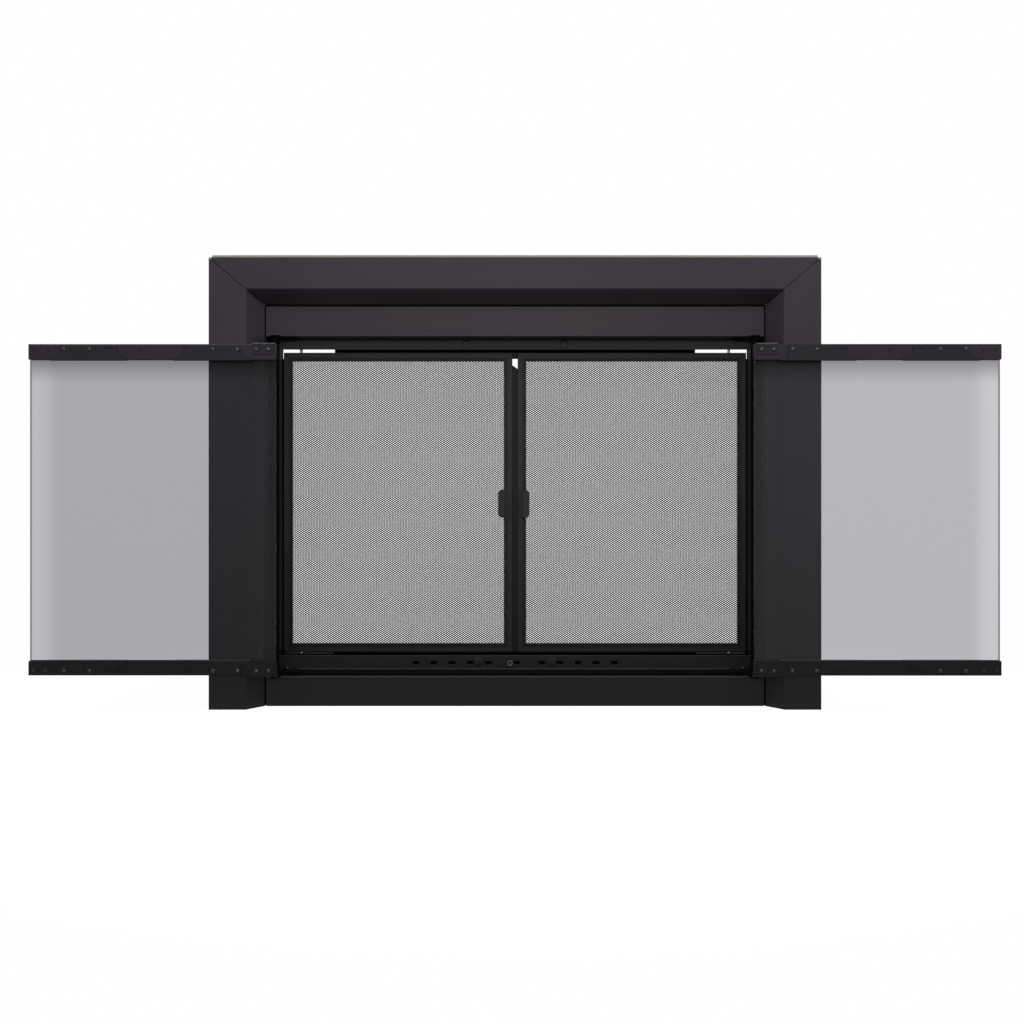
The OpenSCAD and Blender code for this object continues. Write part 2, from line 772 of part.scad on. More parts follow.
// A clip on the rail's back, with its lip folded over the glass
module clip(place, edge, h) {
    mid = place[0];
    s = sign(h);
    low = edge - h - s * lip_low;
    band = low + s * clip_band;
    difference() {
        union() {
            facing(open_back_y - plate_t, open_back_y)
                polygon([[mid - clip_w / 2, edge - s * clip_top], [mid + clip_w / 2, edge - s * clip_top],
                    [mid + clip_w / 2, band + s * clip_shoulder], [mid + clip_lip_w / 2, band],
                    [mid + clip_lip_w / 2, low], [mid - clip_lip_w / 2, low],
                    [mid - clip_lip_w / 2, band], [mid - clip_w / 2, band + s * clip_shoulder]]);
            translate([mid - clip_lip_w / 2, open_back_y - plate_t, min(low, low + s * plate_t)])
                cube([clip_lip_w, glass_mid_y - glass_t / 2 - slide_fit - open_back_y + plate_t, plate_t]);
        }
        for (d = place[1])
            hole_y(mid + d, edge - s * screw_in, pan_shank_r + run_fit, open_back_y - plate_t - over,
                open_back_y + over);
        facing(open_back_y - plate_t - over, open_back_y + over)
            translate([mid + place[2], edge - s * screw_in]) slot(clip_slot_w, clip_slot_h);
    }
}

module glass_clips() {
    for (e = [[door_top, top_rail_h], [door_bottom, -low_rail_h]], c = clips)
        clip(c, e[0], e[1]);
}

module rail_screws() {
    for (e = [[door_top, 1], [door_bottom, -1]]) {
        z = e[0] - e[1] * screw_in;
        for (x = plate_screws()) pan_screw(x, open_back_y - plate_t, z, plate_t + rail_t);
        for (x = bare_screws(e[1] > 0)) pan_screw(x, open_back_y, z, rail_t);
    }
}

module hinge_plate(edge, s) {
    back = open_back_y - plate_t;
    difference() {
        facing(back, open_back_y)
            translate([leaf_x, edge - (s > 0 ? leaf_h : 0)]) square([leaf_w, leaf_h]);
        for (c = leaf_screws)
            hole_y(leaf_x + c, edge - s * screw_in, pan_shank_r + run_fit, back - over, open_back_y + over);
    }
    z0 = min(edge, edge + s * plate_t);
    rising(z0, z0 + plate_t) difference() {
        union() {
            polygon([[leaf_x, back], [leaf_x + leaf_w, back], [leaf_x + leaf_w, open_front_y],
                [hinge_x + leaf_r, hinge_y], [hinge_x - leaf_r, hinge_y], [hinge_x - leaf_r, open_back_y]]);
            translate([hinge_x, hinge_y]) circle(leaf_r);
        }
        translate([hinge_x, hinge_y]) circle(pin_r + run_fit);
    }
}

module hinge_plates() {
    hinge_plate(door_top, 1);
    hinge_plate(door_bottom, -1);
}

module door_pull() {
    z = door_bottom + pull_z;
    grip_y = open_front_y + pull_out;
    for (u = end_screws) hole_y(at(u), z, pull_post_r, open_front_y, grip_y - over);
    facing(grip_y - grip_t, grip_y) translate([at((end_screws[0] + end_screws[1]) / 2), z])
        slot(grip_w, grip_h);
}

/* ---- mesh doors, drawn for the right-hand side and closed ---- */

// The frame's outline, drawn in by the given amount on each side of its bars
module bar_ring(inset) {
    difference() {
        translate([meet_x + inset, mesh_low + inset])
            square([mesh_out - meet_x - 2 * inset, mesh_top - mesh_low - 2 * inset]);
        translate([meet_x + bar_w - inset, mesh_low + bar_w - inset])
            square([mesh_out - meet_x - 2 * (bar_w - inset), mesh_top - mesh_low - 2 * (bar_w - inset)]);
    }
}

module mesh_frame() {
    difference() {
        facing(mesh_y, mesh_back_y) bar_ring(0);
        facing(mesh_y + bar_t, mesh_back_y + over) bar_ring(bar_t);
        for (z = [mesh_low, mesh_top]) translate([pivot_x, pivot_y, z - bar_t - over])
            cylinder(h = 2 * (bar_t + over), r = pivot_r + run_fit);
    }
}

net_x = [meet_x + bar_w, mesh_out - bar_w];
net_z = [mesh_low + bar_w, mesh_top - bar_w];
cell = [(net_x[1] - net_x[0]) / net_cols, (net_z[1] - net_z[0]) / net_rows];
cell_scale = 1 - net_strand * norm(cell) / (cell[0] * cell[1]);

// The four corners of a diamond gap, kept inside the bars
function diamond(x, z) = [for (d = [[-1, 0], [0, -1], [1, 0], [0, 1]])
    [clamped(x + d[0] * cell[0] * cell_scale / 2, net_x[0], net_x[1]),
        clamped(z + d[1] * cell[1] * cell_scale / 2, net_z[0], net_z[1])]];

// Whole diamonds in rows, and those between them, halved where they meet the bars
function diamonds() = concat(
    [for (r = [0 : net_rows - 1], c = [0 : net_cols - 1])
        diamond(net_x[0] + (c + 0.5) * cell[0], net_z[0] + (r + 0.5) * cell[1])],
    [for (r = [1 : net_rows - 1], c = [0 : net_cols])
        diamond(net_x[0] + c * cell[0], net_z[0] + r * cell[1])],
    [for (r = [0, net_rows], c = [1 : net_cols - 1])
        diamond(net_x[0] + c * cell[0], net_z[0] + r * cell[1])]);

module mesh_screen() {
    gaps = diamonds();
    edge = [[net_x[0] - net_lap, net_z[0] - net_lap], [net_x[1] + net_lap, net_z[0] - net_lap],
        [net_x[1] + net_lap, net_z[1] + net_lap], [net_x[0] - net_lap, net_z[1] + net_lap]];
    facing(mesh_y - net_t, mesh_y)
        polygon(concat(edge, [for (g = gaps) each g]),
            paths = [for (i = [0 : len(gaps)]) [for (k = [0 : 3]) 4 * i + k]]);
}

module mesh_tab(inwards) {
    x = meet_x + bar_w - inwards;
    y = mesh_y - net_t;
    z0 = tab_z - tab_h / 2;
    z1 = tab_z + tab_h / 2;
    intersection() {
        rising(z0, z1)
            folded([[x - tab_foot, y], [x, y], [x, y - tab_out], [x + tab_w, y - tab_out]], -tab_t);
        facing(y - tab_out - tab_t - over, y + over)
            polygon([[x - tab_foot - over, z0], [x + tab_w - tab_cut, z0], [x + tab_w, z0 + tab_cut],
                [x + tab_w, z1 - tab_cut], [x + tab_w - tab_cut, z1], [x - tab_foot - over, z1]]);
    }
}

module mesh_pins() {
    bracket_z = inner_bottom + top_pivot_gap + pivot_plate_t;
    translate([pivot_x, pivot_y, 0]) {
        rising(mesh_top - bar_t - collar_h, bracket_z + pin_top_past) circle(pivot_r);
        rising(mesh_top - bar_t - collar_h, mesh_top - bar_t) circle(collar_r);
        rising(sill_top - pin_low_past, mesh_low + bar_t + collar_h) circle(pivot_r);
        rising(mesh_low + bar_t, mesh_low + bar_t + collar_h) circle(collar_r);
    }
}

module meeting_strip() {
    z1 = mesh_top - strip_top_gap;
    x0 = strip_edge - strip_w;
    color("#1c1c1c") facing(mesh_back_y, mesh_back_y + strip_t)
        polygon([[x0, mesh_low], [strip_edge, mesh_low], [strip_edge, z1 - strip_slant],
            [-meet_x, z1], [x0, z1]]);
}

/* ---- the doors' pieces, right and left ---- */

module right_glass() { color("#9a9aa0", 0.45) glass(); }
module left_glass() { mirror([1, 0, 0]) right_glass(); }
module right_top_rail() { color("#2f292f") door_rail(door_top, top_rail_h, true); }
module left_top_rail() { mirror([1, 0, 0]) right_top_rail(); }
module right_bottom_rail() { color("#1a1a1a") door_rail(door_bottom, -low_rail_h, false); }
module left_bottom_rail() { mirror([1, 0, 0]) right_bottom_rail(); }
module right_glass_clips() { color("#2d2c31") glass_clips(); }
module left_glass_clips() { mirror([1, 0, 0]) right_glass_clips(); }
module right_glass_pads() { color("#0f0f10") glass_pads(); }
module left_glass_pads() { mirror([1, 0, 0]) right_glass_pads(); }
module right_rail_screws() { color("#3c3c40") rail_screws(); }
module left_rail_screws() { mirror([1, 0, 0]) right_rail_screws(); }
module right_hinge_plates() { color("#2b2a30") hinge_plates(); }
module left_hinge_plates() { mirror([1, 0, 0]) right_hinge_plates(); }
module right_door_pull() { color("#2a2a2c") door_pull(); }
module left_door_pull() { mirror([1, 0, 0]) right_door_pull(); }
module right_mesh_frame() { color("#262526") mesh_frame(); }
module left_mesh_frame() { mirror([1, 0, 0]) right_mesh_frame(); }
module right_mesh_screen() { color("#2a2a2a") mesh_screen(); }
module left_mesh_screen() { mirror([1, 0, 0]) right_mesh_screen(); }
module right_mesh_tab() { color("#1b1b1b") mesh_tab(right_tab_in); }
module left_mesh_tab() { color("#1b1b1b") mirror([1, 0, 0]) mesh_tab(0); }
module right_mesh_pins() { color("#8d8d90") mesh_pins(); }
module left_mesh_pins() { mirror([1, 0, 0]) right_mesh_pins(); }

surround_top();
surround_left();
surround_right();
sealing_strip();
corner_brackets();
header_plate();
bottom_rail();
inner_header();
sill();
jamb_left();
jamb_right();
mesh_stop_strip();
mesh_catch();
top_hinge_brackets();
bottom_hinge_brackets();
hinge_pins();
hinge_spacers();
top_pivot_brackets();
bottom_pivot_brackets();
lintel_clamps();
clamp_bolts();
clamp_nuts();
hearth_brackets();
bracket_screws();
frame_screws();
damper_plate();
damper_knob();
left_glass();
left_top_rail();
left_bottom_rail();
left_glass_clips();
left_glass_pads();
left_rail_screws();
left_hinge_plates();
left_door_pull();
right_glass();
right_top_rail();
right_bottom_rail();
right_glass_clips();
right_glass_pads();
right_rail_screws();
right_hinge_plates();
right_door_pull();
left_mesh_frame();
left_mesh_screen();
left_mesh_tab();
left_mesh_pins();
meeting_strip();
right_mesh_frame();
right_mesh_screen();
right_mesh_tab();
right_mesh_pins();
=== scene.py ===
"""Fireplace glass door: folded steel surround, open glass doors, closed mesh doors and a damper.

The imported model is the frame. Every piece here is built round it, in metres, with its sizes written in
millimetres.
"""
import logging
import math
import random
from dataclasses import dataclass, field
from enum import Enum
from typing import Any, Iterable, Optional, Union

import bmesh
import bpy
from bpy.types import Material, Mesh, Node, NodeSocket, NodeTree, Object
from mathutils import Matrix, Vector


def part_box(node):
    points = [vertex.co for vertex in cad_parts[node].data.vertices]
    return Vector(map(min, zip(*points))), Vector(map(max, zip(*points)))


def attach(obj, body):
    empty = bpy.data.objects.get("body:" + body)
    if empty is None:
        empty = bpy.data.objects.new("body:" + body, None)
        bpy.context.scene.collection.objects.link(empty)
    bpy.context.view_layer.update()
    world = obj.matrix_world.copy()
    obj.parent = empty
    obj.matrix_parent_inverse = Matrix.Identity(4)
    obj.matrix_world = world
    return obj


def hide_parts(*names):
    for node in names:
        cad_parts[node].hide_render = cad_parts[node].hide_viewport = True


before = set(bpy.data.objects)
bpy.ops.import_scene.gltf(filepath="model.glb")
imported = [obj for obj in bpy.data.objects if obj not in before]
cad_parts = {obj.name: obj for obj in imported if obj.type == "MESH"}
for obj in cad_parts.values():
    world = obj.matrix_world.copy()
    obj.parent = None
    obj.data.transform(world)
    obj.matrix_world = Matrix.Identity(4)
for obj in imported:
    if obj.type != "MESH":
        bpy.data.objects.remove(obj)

log = logging.getLogger("fireplace_glass_door")

MM = 0.001
FULL_TURN = 2 * math.pi
WAVE_SCALE = FULL_TURN / 20  # A wave texture repeats 20 times in a full turn of its scale.
WELD_MM = 0.002
POLE_MM = 0.0001
CREASE_DEG = 40.0
WHITE = (1.0, 1.0, 1.0, 1.0)
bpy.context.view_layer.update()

Point = tuple[float, float, float]


class Side(Enum):
    """The side of the object that a door hangs on, as seen from the front."""

    LEFT = "left"
    RIGHT = "right"


class Facing(Enum):
    """The way a screw's head looks along Y."""

    FRONT = -1
    BACK = 1


class Tilt(Enum):
    """Which faces along a top edge are meant, by the least and the most Z of their normals."""

    BEND = (0.25, 0.97)
    WIDE_BEND = (0.15, 0.95)
    BEND_AND_TOP = (0.25, 1.01)
    TOP = (0.95, 1.01)


# ---- nodes and colours ----


def linear(code: str) -> tuple[float, float, float, float]:
    """Turns an sRGB hex colour into a linear one with full alpha.

    Args:
        code: The colour, such as "#3b363c".

    Returns:
        Red, green, blue and alpha, each from 0 to 1.
    """
    parts = [int(code[i:i + 2], 16) / 255 for i in (1, 3, 5)]
    flat = [v / 12.92 if v <= 0.04045 else ((v + 0.055) / 1.055) ** 2.4 for v in parts]
    return flat[0], flat[1], flat[2], 1.0


def add(tree: NodeTree, kind: str, settings: Optional[dict[str, Any]] = None,
        inputs: Optional[dict[Any, Any]] = None) -> Node:
    """Adds a node to a tree.

    Args:
        tree: The shader or geometry tree.
        kind: The node's type name.
        settings: Properties to set on it.
        inputs: Its inputs by name or number, each a value or a socket to link from.

    Returns:
        The new node.
    """
    made = tree.nodes.new(kind)
    for name, value in (settings or {}).items():
        setattr(made, name, value)
    for name, value in (inputs or {}).items():
        if isinstance(value, NodeSocket):
            tree.links.new(value, made.inputs[name])
        else:
            made.inputs[name].default_value = value
    return made


def maths(tree: NodeTree, operation: str, *values: Any) -> NodeSocket:
    """Adds a Math node and gives its result.

    Args:
        tree: The tree.
        operation: What it does, such as "MULTIPLY".
        values: Its inputs, each a number or a socket.

    Returns:
        The socket that holds the result.
    """
    return add(tree, "ShaderNodeMath", {"operation": operation}, dict(enumerate(values))).outputs[0]


def ramp(tree: NodeTree, value: NodeSocket, source: tuple[float, float] = (0.0, 1.0),
         target: tuple[float, float] = (0.0, 1.0), soft: bool = False) -> NodeSocket:
    """Carries a value over from one range to another, and holds it at the ends.

    Args:
        tree: The tree.
        value: The value.
        source: The range that it has.
        target: The range that it gets.
        soft: Whether it starts and ends softly.

    Returns:
        The socket that holds the result.
    """
    kind = "SMOOTHSTEP" if soft else "LINEAR"
    return add(tree, "ShaderNodeMapRange", {"interpolation_type": kind}, {
        "Value": value, "From Min": source[0], "From Max": source[1],
        "To Min": target[0], "To Max": target[1]}).outputs[0]


def blend(tree: NodeTree, share: NodeSocket, low: Union[str, NodeSocket],
          high: Union[str, NodeSocket]) -> NodeSocket:
    """Mixes two colours.

    Args:
        tree: The tree.
        share: How much of the second shows, from 0 to 1.
        low: The first colour, as a hex code or a socket.
        high: The second one.

    Returns:
        The socket that holds the mixed colour.
    """
    first, second = (linear(one) if isinstance(one, str) else one for one in (low, high))
    return add(tree, "ShaderNodeMix", {"data_type": "RGBA"}, {0: share, 6: first, 7: second}).outputs[2]


def around(middle: float, swing: float) -> tuple[float, float]:
    """Gives the range from middle - swing to middle + swing."""
    return middle - swing, middle + swing


def per_metre(size_mm: float) -> float:
    """Gives the texture scale at which one cell of a pattern is size_mm wide."""
    return 1 / (size_mm * MM)


# ---- finishes ----


@dataclass(frozen=True)
class Finish:
    """A surface finish that makes one material of its own name."""

    name: str
    slot: str

    def material(self) -> Material:
        """Builds the finish's material the first time, and finds it again after that.

        Returns:
            The material.
        """
        made = bpy.data.materials.get(self.name)
        if made is None:
            made = bpy.data.materials.new(self.name)
            made.use_nodes = True
            tree = made.node_tree
            shader = next(n for n in tree.nodes if n.type == "BSDF_PRINCIPLED")
            place = add(tree, "ShaderNodeTexCoord").outputs["Object"]
            self.shade(tree, shader, place)
        return made

    def shade(self, tree: NodeTree, shader: Node, place: NodeSocket) -> None:
        """Sets the shader up. Each finish has its own way.

        Args:
            tree: The material's nodes.
            shader: Its Principled node.
            place: The piece's own coordinates, in metres.
        """
        raise NotImplementedError


@dataclass(frozen=True)
class BakedEnamel(Finish):
    """Sprayed and baked enamel on sheet steel: dark, satin, with a faint orange peel.

    The peel breaks the edge of each reflection, and slow drifts of gloss and tone keep long flats from
    looking like one printed colour. Low down it turns to its foot colour, mostly darker: painted shade.
    """

    colour: str = "#302a31"
    light: str = "#363037"
    foot: str = "#1b1a1b"
    roughness: float = 0.42
    specular: float = 0.16
    peel_mm: float = 2.4
    peel_depth_mm: float = 0.01
    peel_strength: float = 0.2
    peel_detail: float = 2.0
    drift_mm: float = 140.0
    drift_detail: float = 3.0
    drift_span: tuple[float, float] = (0.3, 0.7)
    gloss_drift: float = 0.06
    foot_ends_mm: float = 40.0
    foot_starts_mm: float = 420.0

    def shade(self, tree: NodeTree, shader: Node, place: NodeSocket) -> None:
        """See Finish."""
        drift = add(tree, "ShaderNodeTexNoise", inputs={
            "Vector": place, "Scale": per_metre(self.drift_mm), "Detail": self.drift_detail}).outputs["Fac"]
        tone = blend(tree, ramp(tree, drift, self.drift_span), self.colour, self.light)
        height = add(tree, "ShaderNodeSeparateXYZ", inputs={0: place}).outputs["Z"]
        # Painted shade: below foot_starts_mm the colour turns towards the foot, mostly darker where less
        # light falls.
        above_foot_shade = ramp(tree, height, (self.foot_ends_mm * MM, self.foot_starts_mm * MM), soft=True)
        gloss = ramp(tree, drift, target=around(self.roughness, self.gloss_drift))
        fleck = add(tree, "ShaderNodeTexNoise", inputs={
            "Vector": place, "Scale": per_metre(self.peel_mm), "Detail": self.peel_detail})
        peel = add(tree, "ShaderNodeBump", inputs={
            "Strength": self.peel_strength, "Distance": self.peel_depth_mm * MM,
            "Height": fleck.outputs["Fac"]})
        tree.links.new(blend(tree, above_foot_shade, self.foot, tone), shader.inputs["Base Color"])
        tree.links.new(gloss, shader.inputs["Roughness"])
        tree.links.new(peel.outputs[0], shader.inputs["Normal"])
        shader.inputs["Specular IOR Level"].default_value = self.specular


@dataclass(frozen=True)
class ZincPlate(Finish):
    """Bright zinc plating on pressed steel: a cool grey metal with a faint cloudy spangle."""

    colour: str = "#8b8c90"
    cloud: str = "#a2a3a6"
    roughness: float = 0.38
    spangle_mm: float = 5.0
    gloss_drift: float = 0.07

    def shade(self, tree: NodeTree, shader: Node, place: NodeSocket) -> None:
        """See Finish."""
        spangle = add(tree, "ShaderNodeTexVoronoi", inputs={
            "Vector": place, "Scale": per_metre(self.spangle_mm)})
        bits = add(tree, "ShaderNodeSeparateColor", inputs={0: spangle.outputs["Color"]})
        gloss = ramp(tree, bits.outputs[1], target=around(self.roughness, self.gloss_drift))
        tree.links.new(blend(tree, bits.outputs[0], self.colour, self.cloud), shader.inputs["Base Color"])
        tree.links.new(gloss, shader.inputs["Roughness"])
        shader.inputs["Metallic"].default_value = 1.0


@dataclass(frozen=True)
class TurnedSteel(Finish):
    """Bare steel from a lathe: fine rings round the knob's axis break up its highlight."""

    axis_x_mm: float = 0.0
    axis_z_mm: float = 0.0
    colour: str = "#5a5a5d"
    ring_mm: float = 0.5
    ring_depth_mm: float = 0.03
    ring_strength: float = 0.4
    roughness: tuple[float, float] = (0.25, 0.4)

    def shade(self, tree: NodeTree, shader: Node, place: NodeSocket) -> None:
        """See Finish."""
        centred = add(tree, "ShaderNodeMapping", inputs={
            "Vector": place, "Location": (-self.axis_x_mm * MM, 0.0, -self.axis_z_mm * MM)})
        rings = add(tree, "ShaderNodeTexWave", {"wave_type": "RINGS", "rings_direction": "Y"}, {
            "Vector": centred.outputs[0], "Scale": per_metre(self.ring_mm) * WAVE_SCALE}).outputs["Fac"]
        cut = add(tree, "ShaderNodeBump", inputs={
            "Strength": self.ring_strength, "Distance": self.ring_depth_mm * MM, "Height": rings})
        tree.links.new(cut.outputs[0], shader.inputs["Normal"])
        tree.links.new(ramp(tree, rings, target=self.roughness), shader.inputs["Roughness"])
        shader.inputs["Base Color"].default_value = linear(self.colour)
        shader.inputs["Metallic"].default_value = 1.0


@dataclass(frozen=True)
class SmokedGlass(Finish):
    """Tempered float glass with a grey tint: clear and flat, with weak sharp reflections.

    A band along the top rail is darker as painted shade, and the free end is lighter as painted light.
    Lamps shine straight through, which lets them reach the steel that the open doors cover. They pass two
    faces, so each face holds the root of the whole tint. The index is under that of plain glass because the
    pane's reflections are faint on the object. A trace of dust on both faces veils whatever dark steel lies
    behind.
    """

    tint: str = "#adacb1"
    rim_tint: str = "#bfbec3"
    shade_band_tint: str = "#7f7e83"
    face_tint: str = "#d3d3d6"
    index: float = 1.08
    haze: float = 0.047
    rim_mm: tuple[float, float] = (752.0, 794.0)
    shade_band_mm: tuple[float, float] = (539.0, 592.0)
    edge_tint: str = "#77767b"
    edge_mm: float = 2.0

    def shade(self, tree: NodeTree, shader: Node, place: NodeSocket) -> None:
        """See Finish."""
        spot = add(tree, "ShaderNodeSeparateXYZ", inputs={0: place})
        outwards = maths(tree, "ABSOLUTE", spot.outputs["X"])
        # Painted light towards the free end, and painted shade in a band under the top rail.
        rim = ramp(tree, outwards, (self.rim_mm[0] * MM, self.rim_mm[1] * MM), soft=True)
        shade_band = ramp(tree, spot.outputs["Z"], (self.shade_band_mm[0] * MM, self.shade_band_mm[1] * MM), soft=True)
        tinted = blend(tree, shade_band, blend(tree, rim, self.tint, self.rim_tint), self.shade_band_tint)
        # The eye looks along the sheet's thickness at the free end, which makes a thin dark line there.
        cut = maths(tree, "GREATER_THAN", outwards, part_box("right_glass")[1].x - self.edge_mm * MM)
        tree.links.new(blend(tree, cut, tinted, self.edge_tint), shader.inputs["Base Color"])
        shader.inputs["Roughness"].default_value = 0.0
        shader.inputs["Transmission Weight"].default_value = 1.0 - self.haze
        shader.inputs["IOR"].default_value = self.index
        shine = add(tree, "ShaderNodeBsdfTransparent", inputs={"Color": linear(self.face_tint)})
        path = add(tree, "ShaderNodeLightPath")
        both = add(tree, "ShaderNodeMixShader", inputs={
            0: path.outputs["Is Shadow Ray"], 1: shader.outputs[0], 2: shine.outputs[0]})
        output = next(n for n in tree.nodes if n.type == "OUTPUT_MATERIAL")
        tree.links.new(both.outputs[0], output.inputs["Surface"])


@dataclass(frozen=True)
class WovenFibre(Finish):
    """Heat-proof glass-fibre tape: matt, with the small ribs of its weave and a fuzzy tone."""

    colour: str = "#c4cbc0"
    shade_colour: str = "#9aa198"
    rib_mm: float = 1.6
    rib_depth_mm: float = 0.25
    rib_strength: float = 0.6
    roughness: float = 0.9

    def shade(self, tree: NodeTree, shader: Node, place: NodeSocket) -> None:
        """See Finish."""
        scale = per_metre(self.rib_mm) * WAVE_SCALE
        warp, weft = (add(tree, "ShaderNodeTexWave", {"bands_direction": way}, {
            "Vector": place, "Scale": scale}).outputs["Fac"] for way in ("X", "Y"))
        weave = maths(tree, "MULTIPLY", warp, weft)
        ribs = add(tree, "ShaderNodeBump", inputs={
            "Strength": self.rib_strength, "Distance": self.rib_depth_mm * MM, "Height": weave})
        tree.links.new(blend(tree, weave, self.shade_colour, self.colour), shader.inputs["Base Color"])
        tree.links.new(ribs.outputs[0], shader.inputs["Normal"])
        shader.inputs["Roughness"].default_value = self.roughness


# Each enamel's third colour is its foot: painted shade, mostly darker, that it turns to low down.
SURROUND_ENAMEL = BakedEnamel("satin_charcoal_enamel", "surround_paint", foot="#0e0d0e")
# A darker copy of the surround's enamel: painted shade on the recessed header plate.
HEADER_ENAMEL = BakedEnamel("header_enamel", "surround_paint", "#2a242b", "#302a31")
LOWER_ENAMEL = BakedEnamel("black_stove_enamel", "black_paint", "#1b1b1c", "#1f1f20", "#1b1b1b", 0.45, 0.12)
# A darker, neutral copy of the door rails' enamel: painted shade on the doors' bottom rails.
LOW_RAIL_ENAMEL = BakedEnamel("black_rail_enamel", "black_paint", "#151515", "#191919", "#151515", 0.45, 0.1)
# Lighter than black enamel: painted light on the inner header, which lies in the header plate's shade.
INNER_ENAMEL = BakedEnamel("matt_black_enamel", "black_paint", "#3a393a", "#403f40", "#171717", 0.55, 0.1)
# Painted shade: the sill is near-black below its lip, and the bottom rail on its top, behind its bend.
SILL_ENAMEL = BakedEnamel("sill_enamel", "black_paint", "#161616", "#191919", "#040404", 0.5, 0.1,
                          foot_ends_mm=57.0, foot_starts_mm=59.0)
RAIL_ENAMEL = BakedEnamel("rail_top_shade_enamel", "black_paint", "#050505", "#070707", "#1a1a1a", 0.42, 0.12,
                          foot_ends_mm=50.5, foot_starts_mm=50.9)
# Near-black with almost no gloss: the jambs and several small parts.
JAMB_ENAMEL = BakedEnamel("near_black_enamel", "black_paint", "#0c0c0c", "#0f0f0f", "#0b0b0b", 0.7, 0.02)
# Painted shade: near-black for what shows through the sill's slots and for the sill's top under the mesh
# doors.
SHADE_BLACK_ENAMEL = BakedEnamel("painted_shade_black_enamel", "black_paint", "#040404", "#060606", "#040404", 0.8, 0.0)
DOOR_ENAMEL = BakedEnamel("door_rail_enamel", "door_paint", "#261f27", "#2b252c", "#181718", 0.4, 0.14)
CLIP_ENAMEL = BakedEnamel("pressed_clip_enamel", "door_paint", "#1f1e22", "#242328", "#0f0f10", 0.4, 0.12)
# Painted highlight along upper bends and edges, where light from above would catch them.
HIGHLIGHT_ENAMEL = BakedEnamel("painted_highlight_enamel", "black_paint", "#3a373b", "#413e42", "#3c3b3d", 0.36, 0.2)
MESH_ENAMEL = BakedEnamel(
    "dipped_black_enamel", "mesh_paint", "#2a292a", "#302f30", "#181818", 0.5, 0.12, peel_mm=0.54)
BLACK_SCREW = BakedEnamel(
    "blackened_screw_steel", "screw_black", "#08080a", "#0d0d0f", "#060607", 0.16, 0.3, peel_mm=0.48)
TRUSS_SCREW = BakedEnamel(
    "enamelled_screw_steel", "screw_black", "#2a2a2b", "#2e2e2f", "#121213", 0.45, 0.14, peel_mm=0.48)
MAGNET = BakedEnamel("sintered_magnet", "magnet", "#090909", "#0c0c0c", "#090909", 0.45, 0.1)
# Painted shade: near-black beads behind the seams, so that the seams read dark.
SEAM_SHADE = BakedEnamel("seam_shade_black", "black_paint", "#040404", "#060606", "#030303", 0.9, 0.0)
ZINC = ZincPlate("bright_zinc_plate", "zinc")
# Bared steel in the rail screws' recesses, and on the hinge plates' top edges as a painted highlight.
BARE_STEEL_AND_HIGHLIGHT = ZincPlate("bare_steel_and_highlight", "screw_black", "#77777a", "#8d8d90", 0.3, 1.5)
# The right pane's tints are lighter: painted light on a copy of the same glass.
PANES = {
    Side.LEFT: SmokedGlass("grey_tempered_glass_left", "glass"),
    Side.RIGHT: SmokedGlass("grey_tempered_glass_right", "glass", "#bbbabf", "#cccbd0", "#8d8c91"),
}
GASKET = WovenFibre("black_fibre_gasket", "pad_rubber", "#141414", "#0b0b0b", 1.2)
SEAL = WovenFibre("pale_fibre_tape", "seal_wool")


# ---- making pieces ----


def settle(made: Object, body: str, finish: Finish, stands_for: Iterable[str] = ()) -> Object:
    """Gives a piece its finish and its body, and reports it.

    Args:
        made: The piece, in place.
        body: The body it moves with.
        finish: Its finish.
        stands_for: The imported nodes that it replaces.

    Returns:
        The same piece.
    """
    made.data.materials.clear()
    made.data.materials.append(finish.material())
    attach(made, body)
    if stands_for:
        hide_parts(*stands_for)
    log.info("%s: %d faces on %s", made.name, len(made.data.polygons), body)
    return made


def as_object(name: str, data: bpy.types.ID) -> Object:
    """Puts a mesh, curve, lamp or camera in the scene.

    Args:
        name: The object's name.
        data: What it shows.

    Returns:
        The object.
    """
    made = bpy.data.objects.new(name, data)
    bpy.context.scene.collection.objects.link(made)
    return made


def as_mesh(name: str, bm: bmesh.types.BMesh) -> Mesh:
    """Ends an edited shape as a mesh.

    Args:
        name: The mesh's name.
        bm: The shape, which is freed.

    Returns:
        The mesh.
    """
    mesh = bpy.data.meshes.new(name)
    bm.to_mesh(mesh)
    bm.free()
    return mesh


def smooth(mesh: Mesh, crease_deg: float) -> Mesh:
    """Shades a mesh smooth, but for its creases.

    Args:
        mesh: The mesh.
        crease_deg: The turn from which an edge counts as a crease.

    Returns:
        The same mesh.
    """
    for face in mesh.polygons:
        face.use_smooth = True
    mesh.set_sharp_from_angle(angle=math.radians(crease_deg))
    return mesh


def baked(source: Object, name: str) -> Object:
    """Turns an object with modifiers into a plain mesh object, and removes the source.

    Args:
        source: The object to evaluate.
        name: The new object's name.

    Returns:
        The new object.
    """
    seen = source.evaluated_get(bpy.context.evaluated_depsgraph_get())
    mesh = bpy.data.meshes.new_from_object(seen)
    mesh.name = name
    bpy.data.objects.remove(source)
    return as_object(name, mesh)


def dress(nodes: Iterable[str], finish: Finish) -> None:
    """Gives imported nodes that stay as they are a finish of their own.

    Args:
        nodes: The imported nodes.
        finish: Their finish.
    """
    for name in nodes:
        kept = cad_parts[name]
        for place in kept.material_slots:
            place.material = finish.material()
        log.info("%s: dressed in %s", name, finish.name)


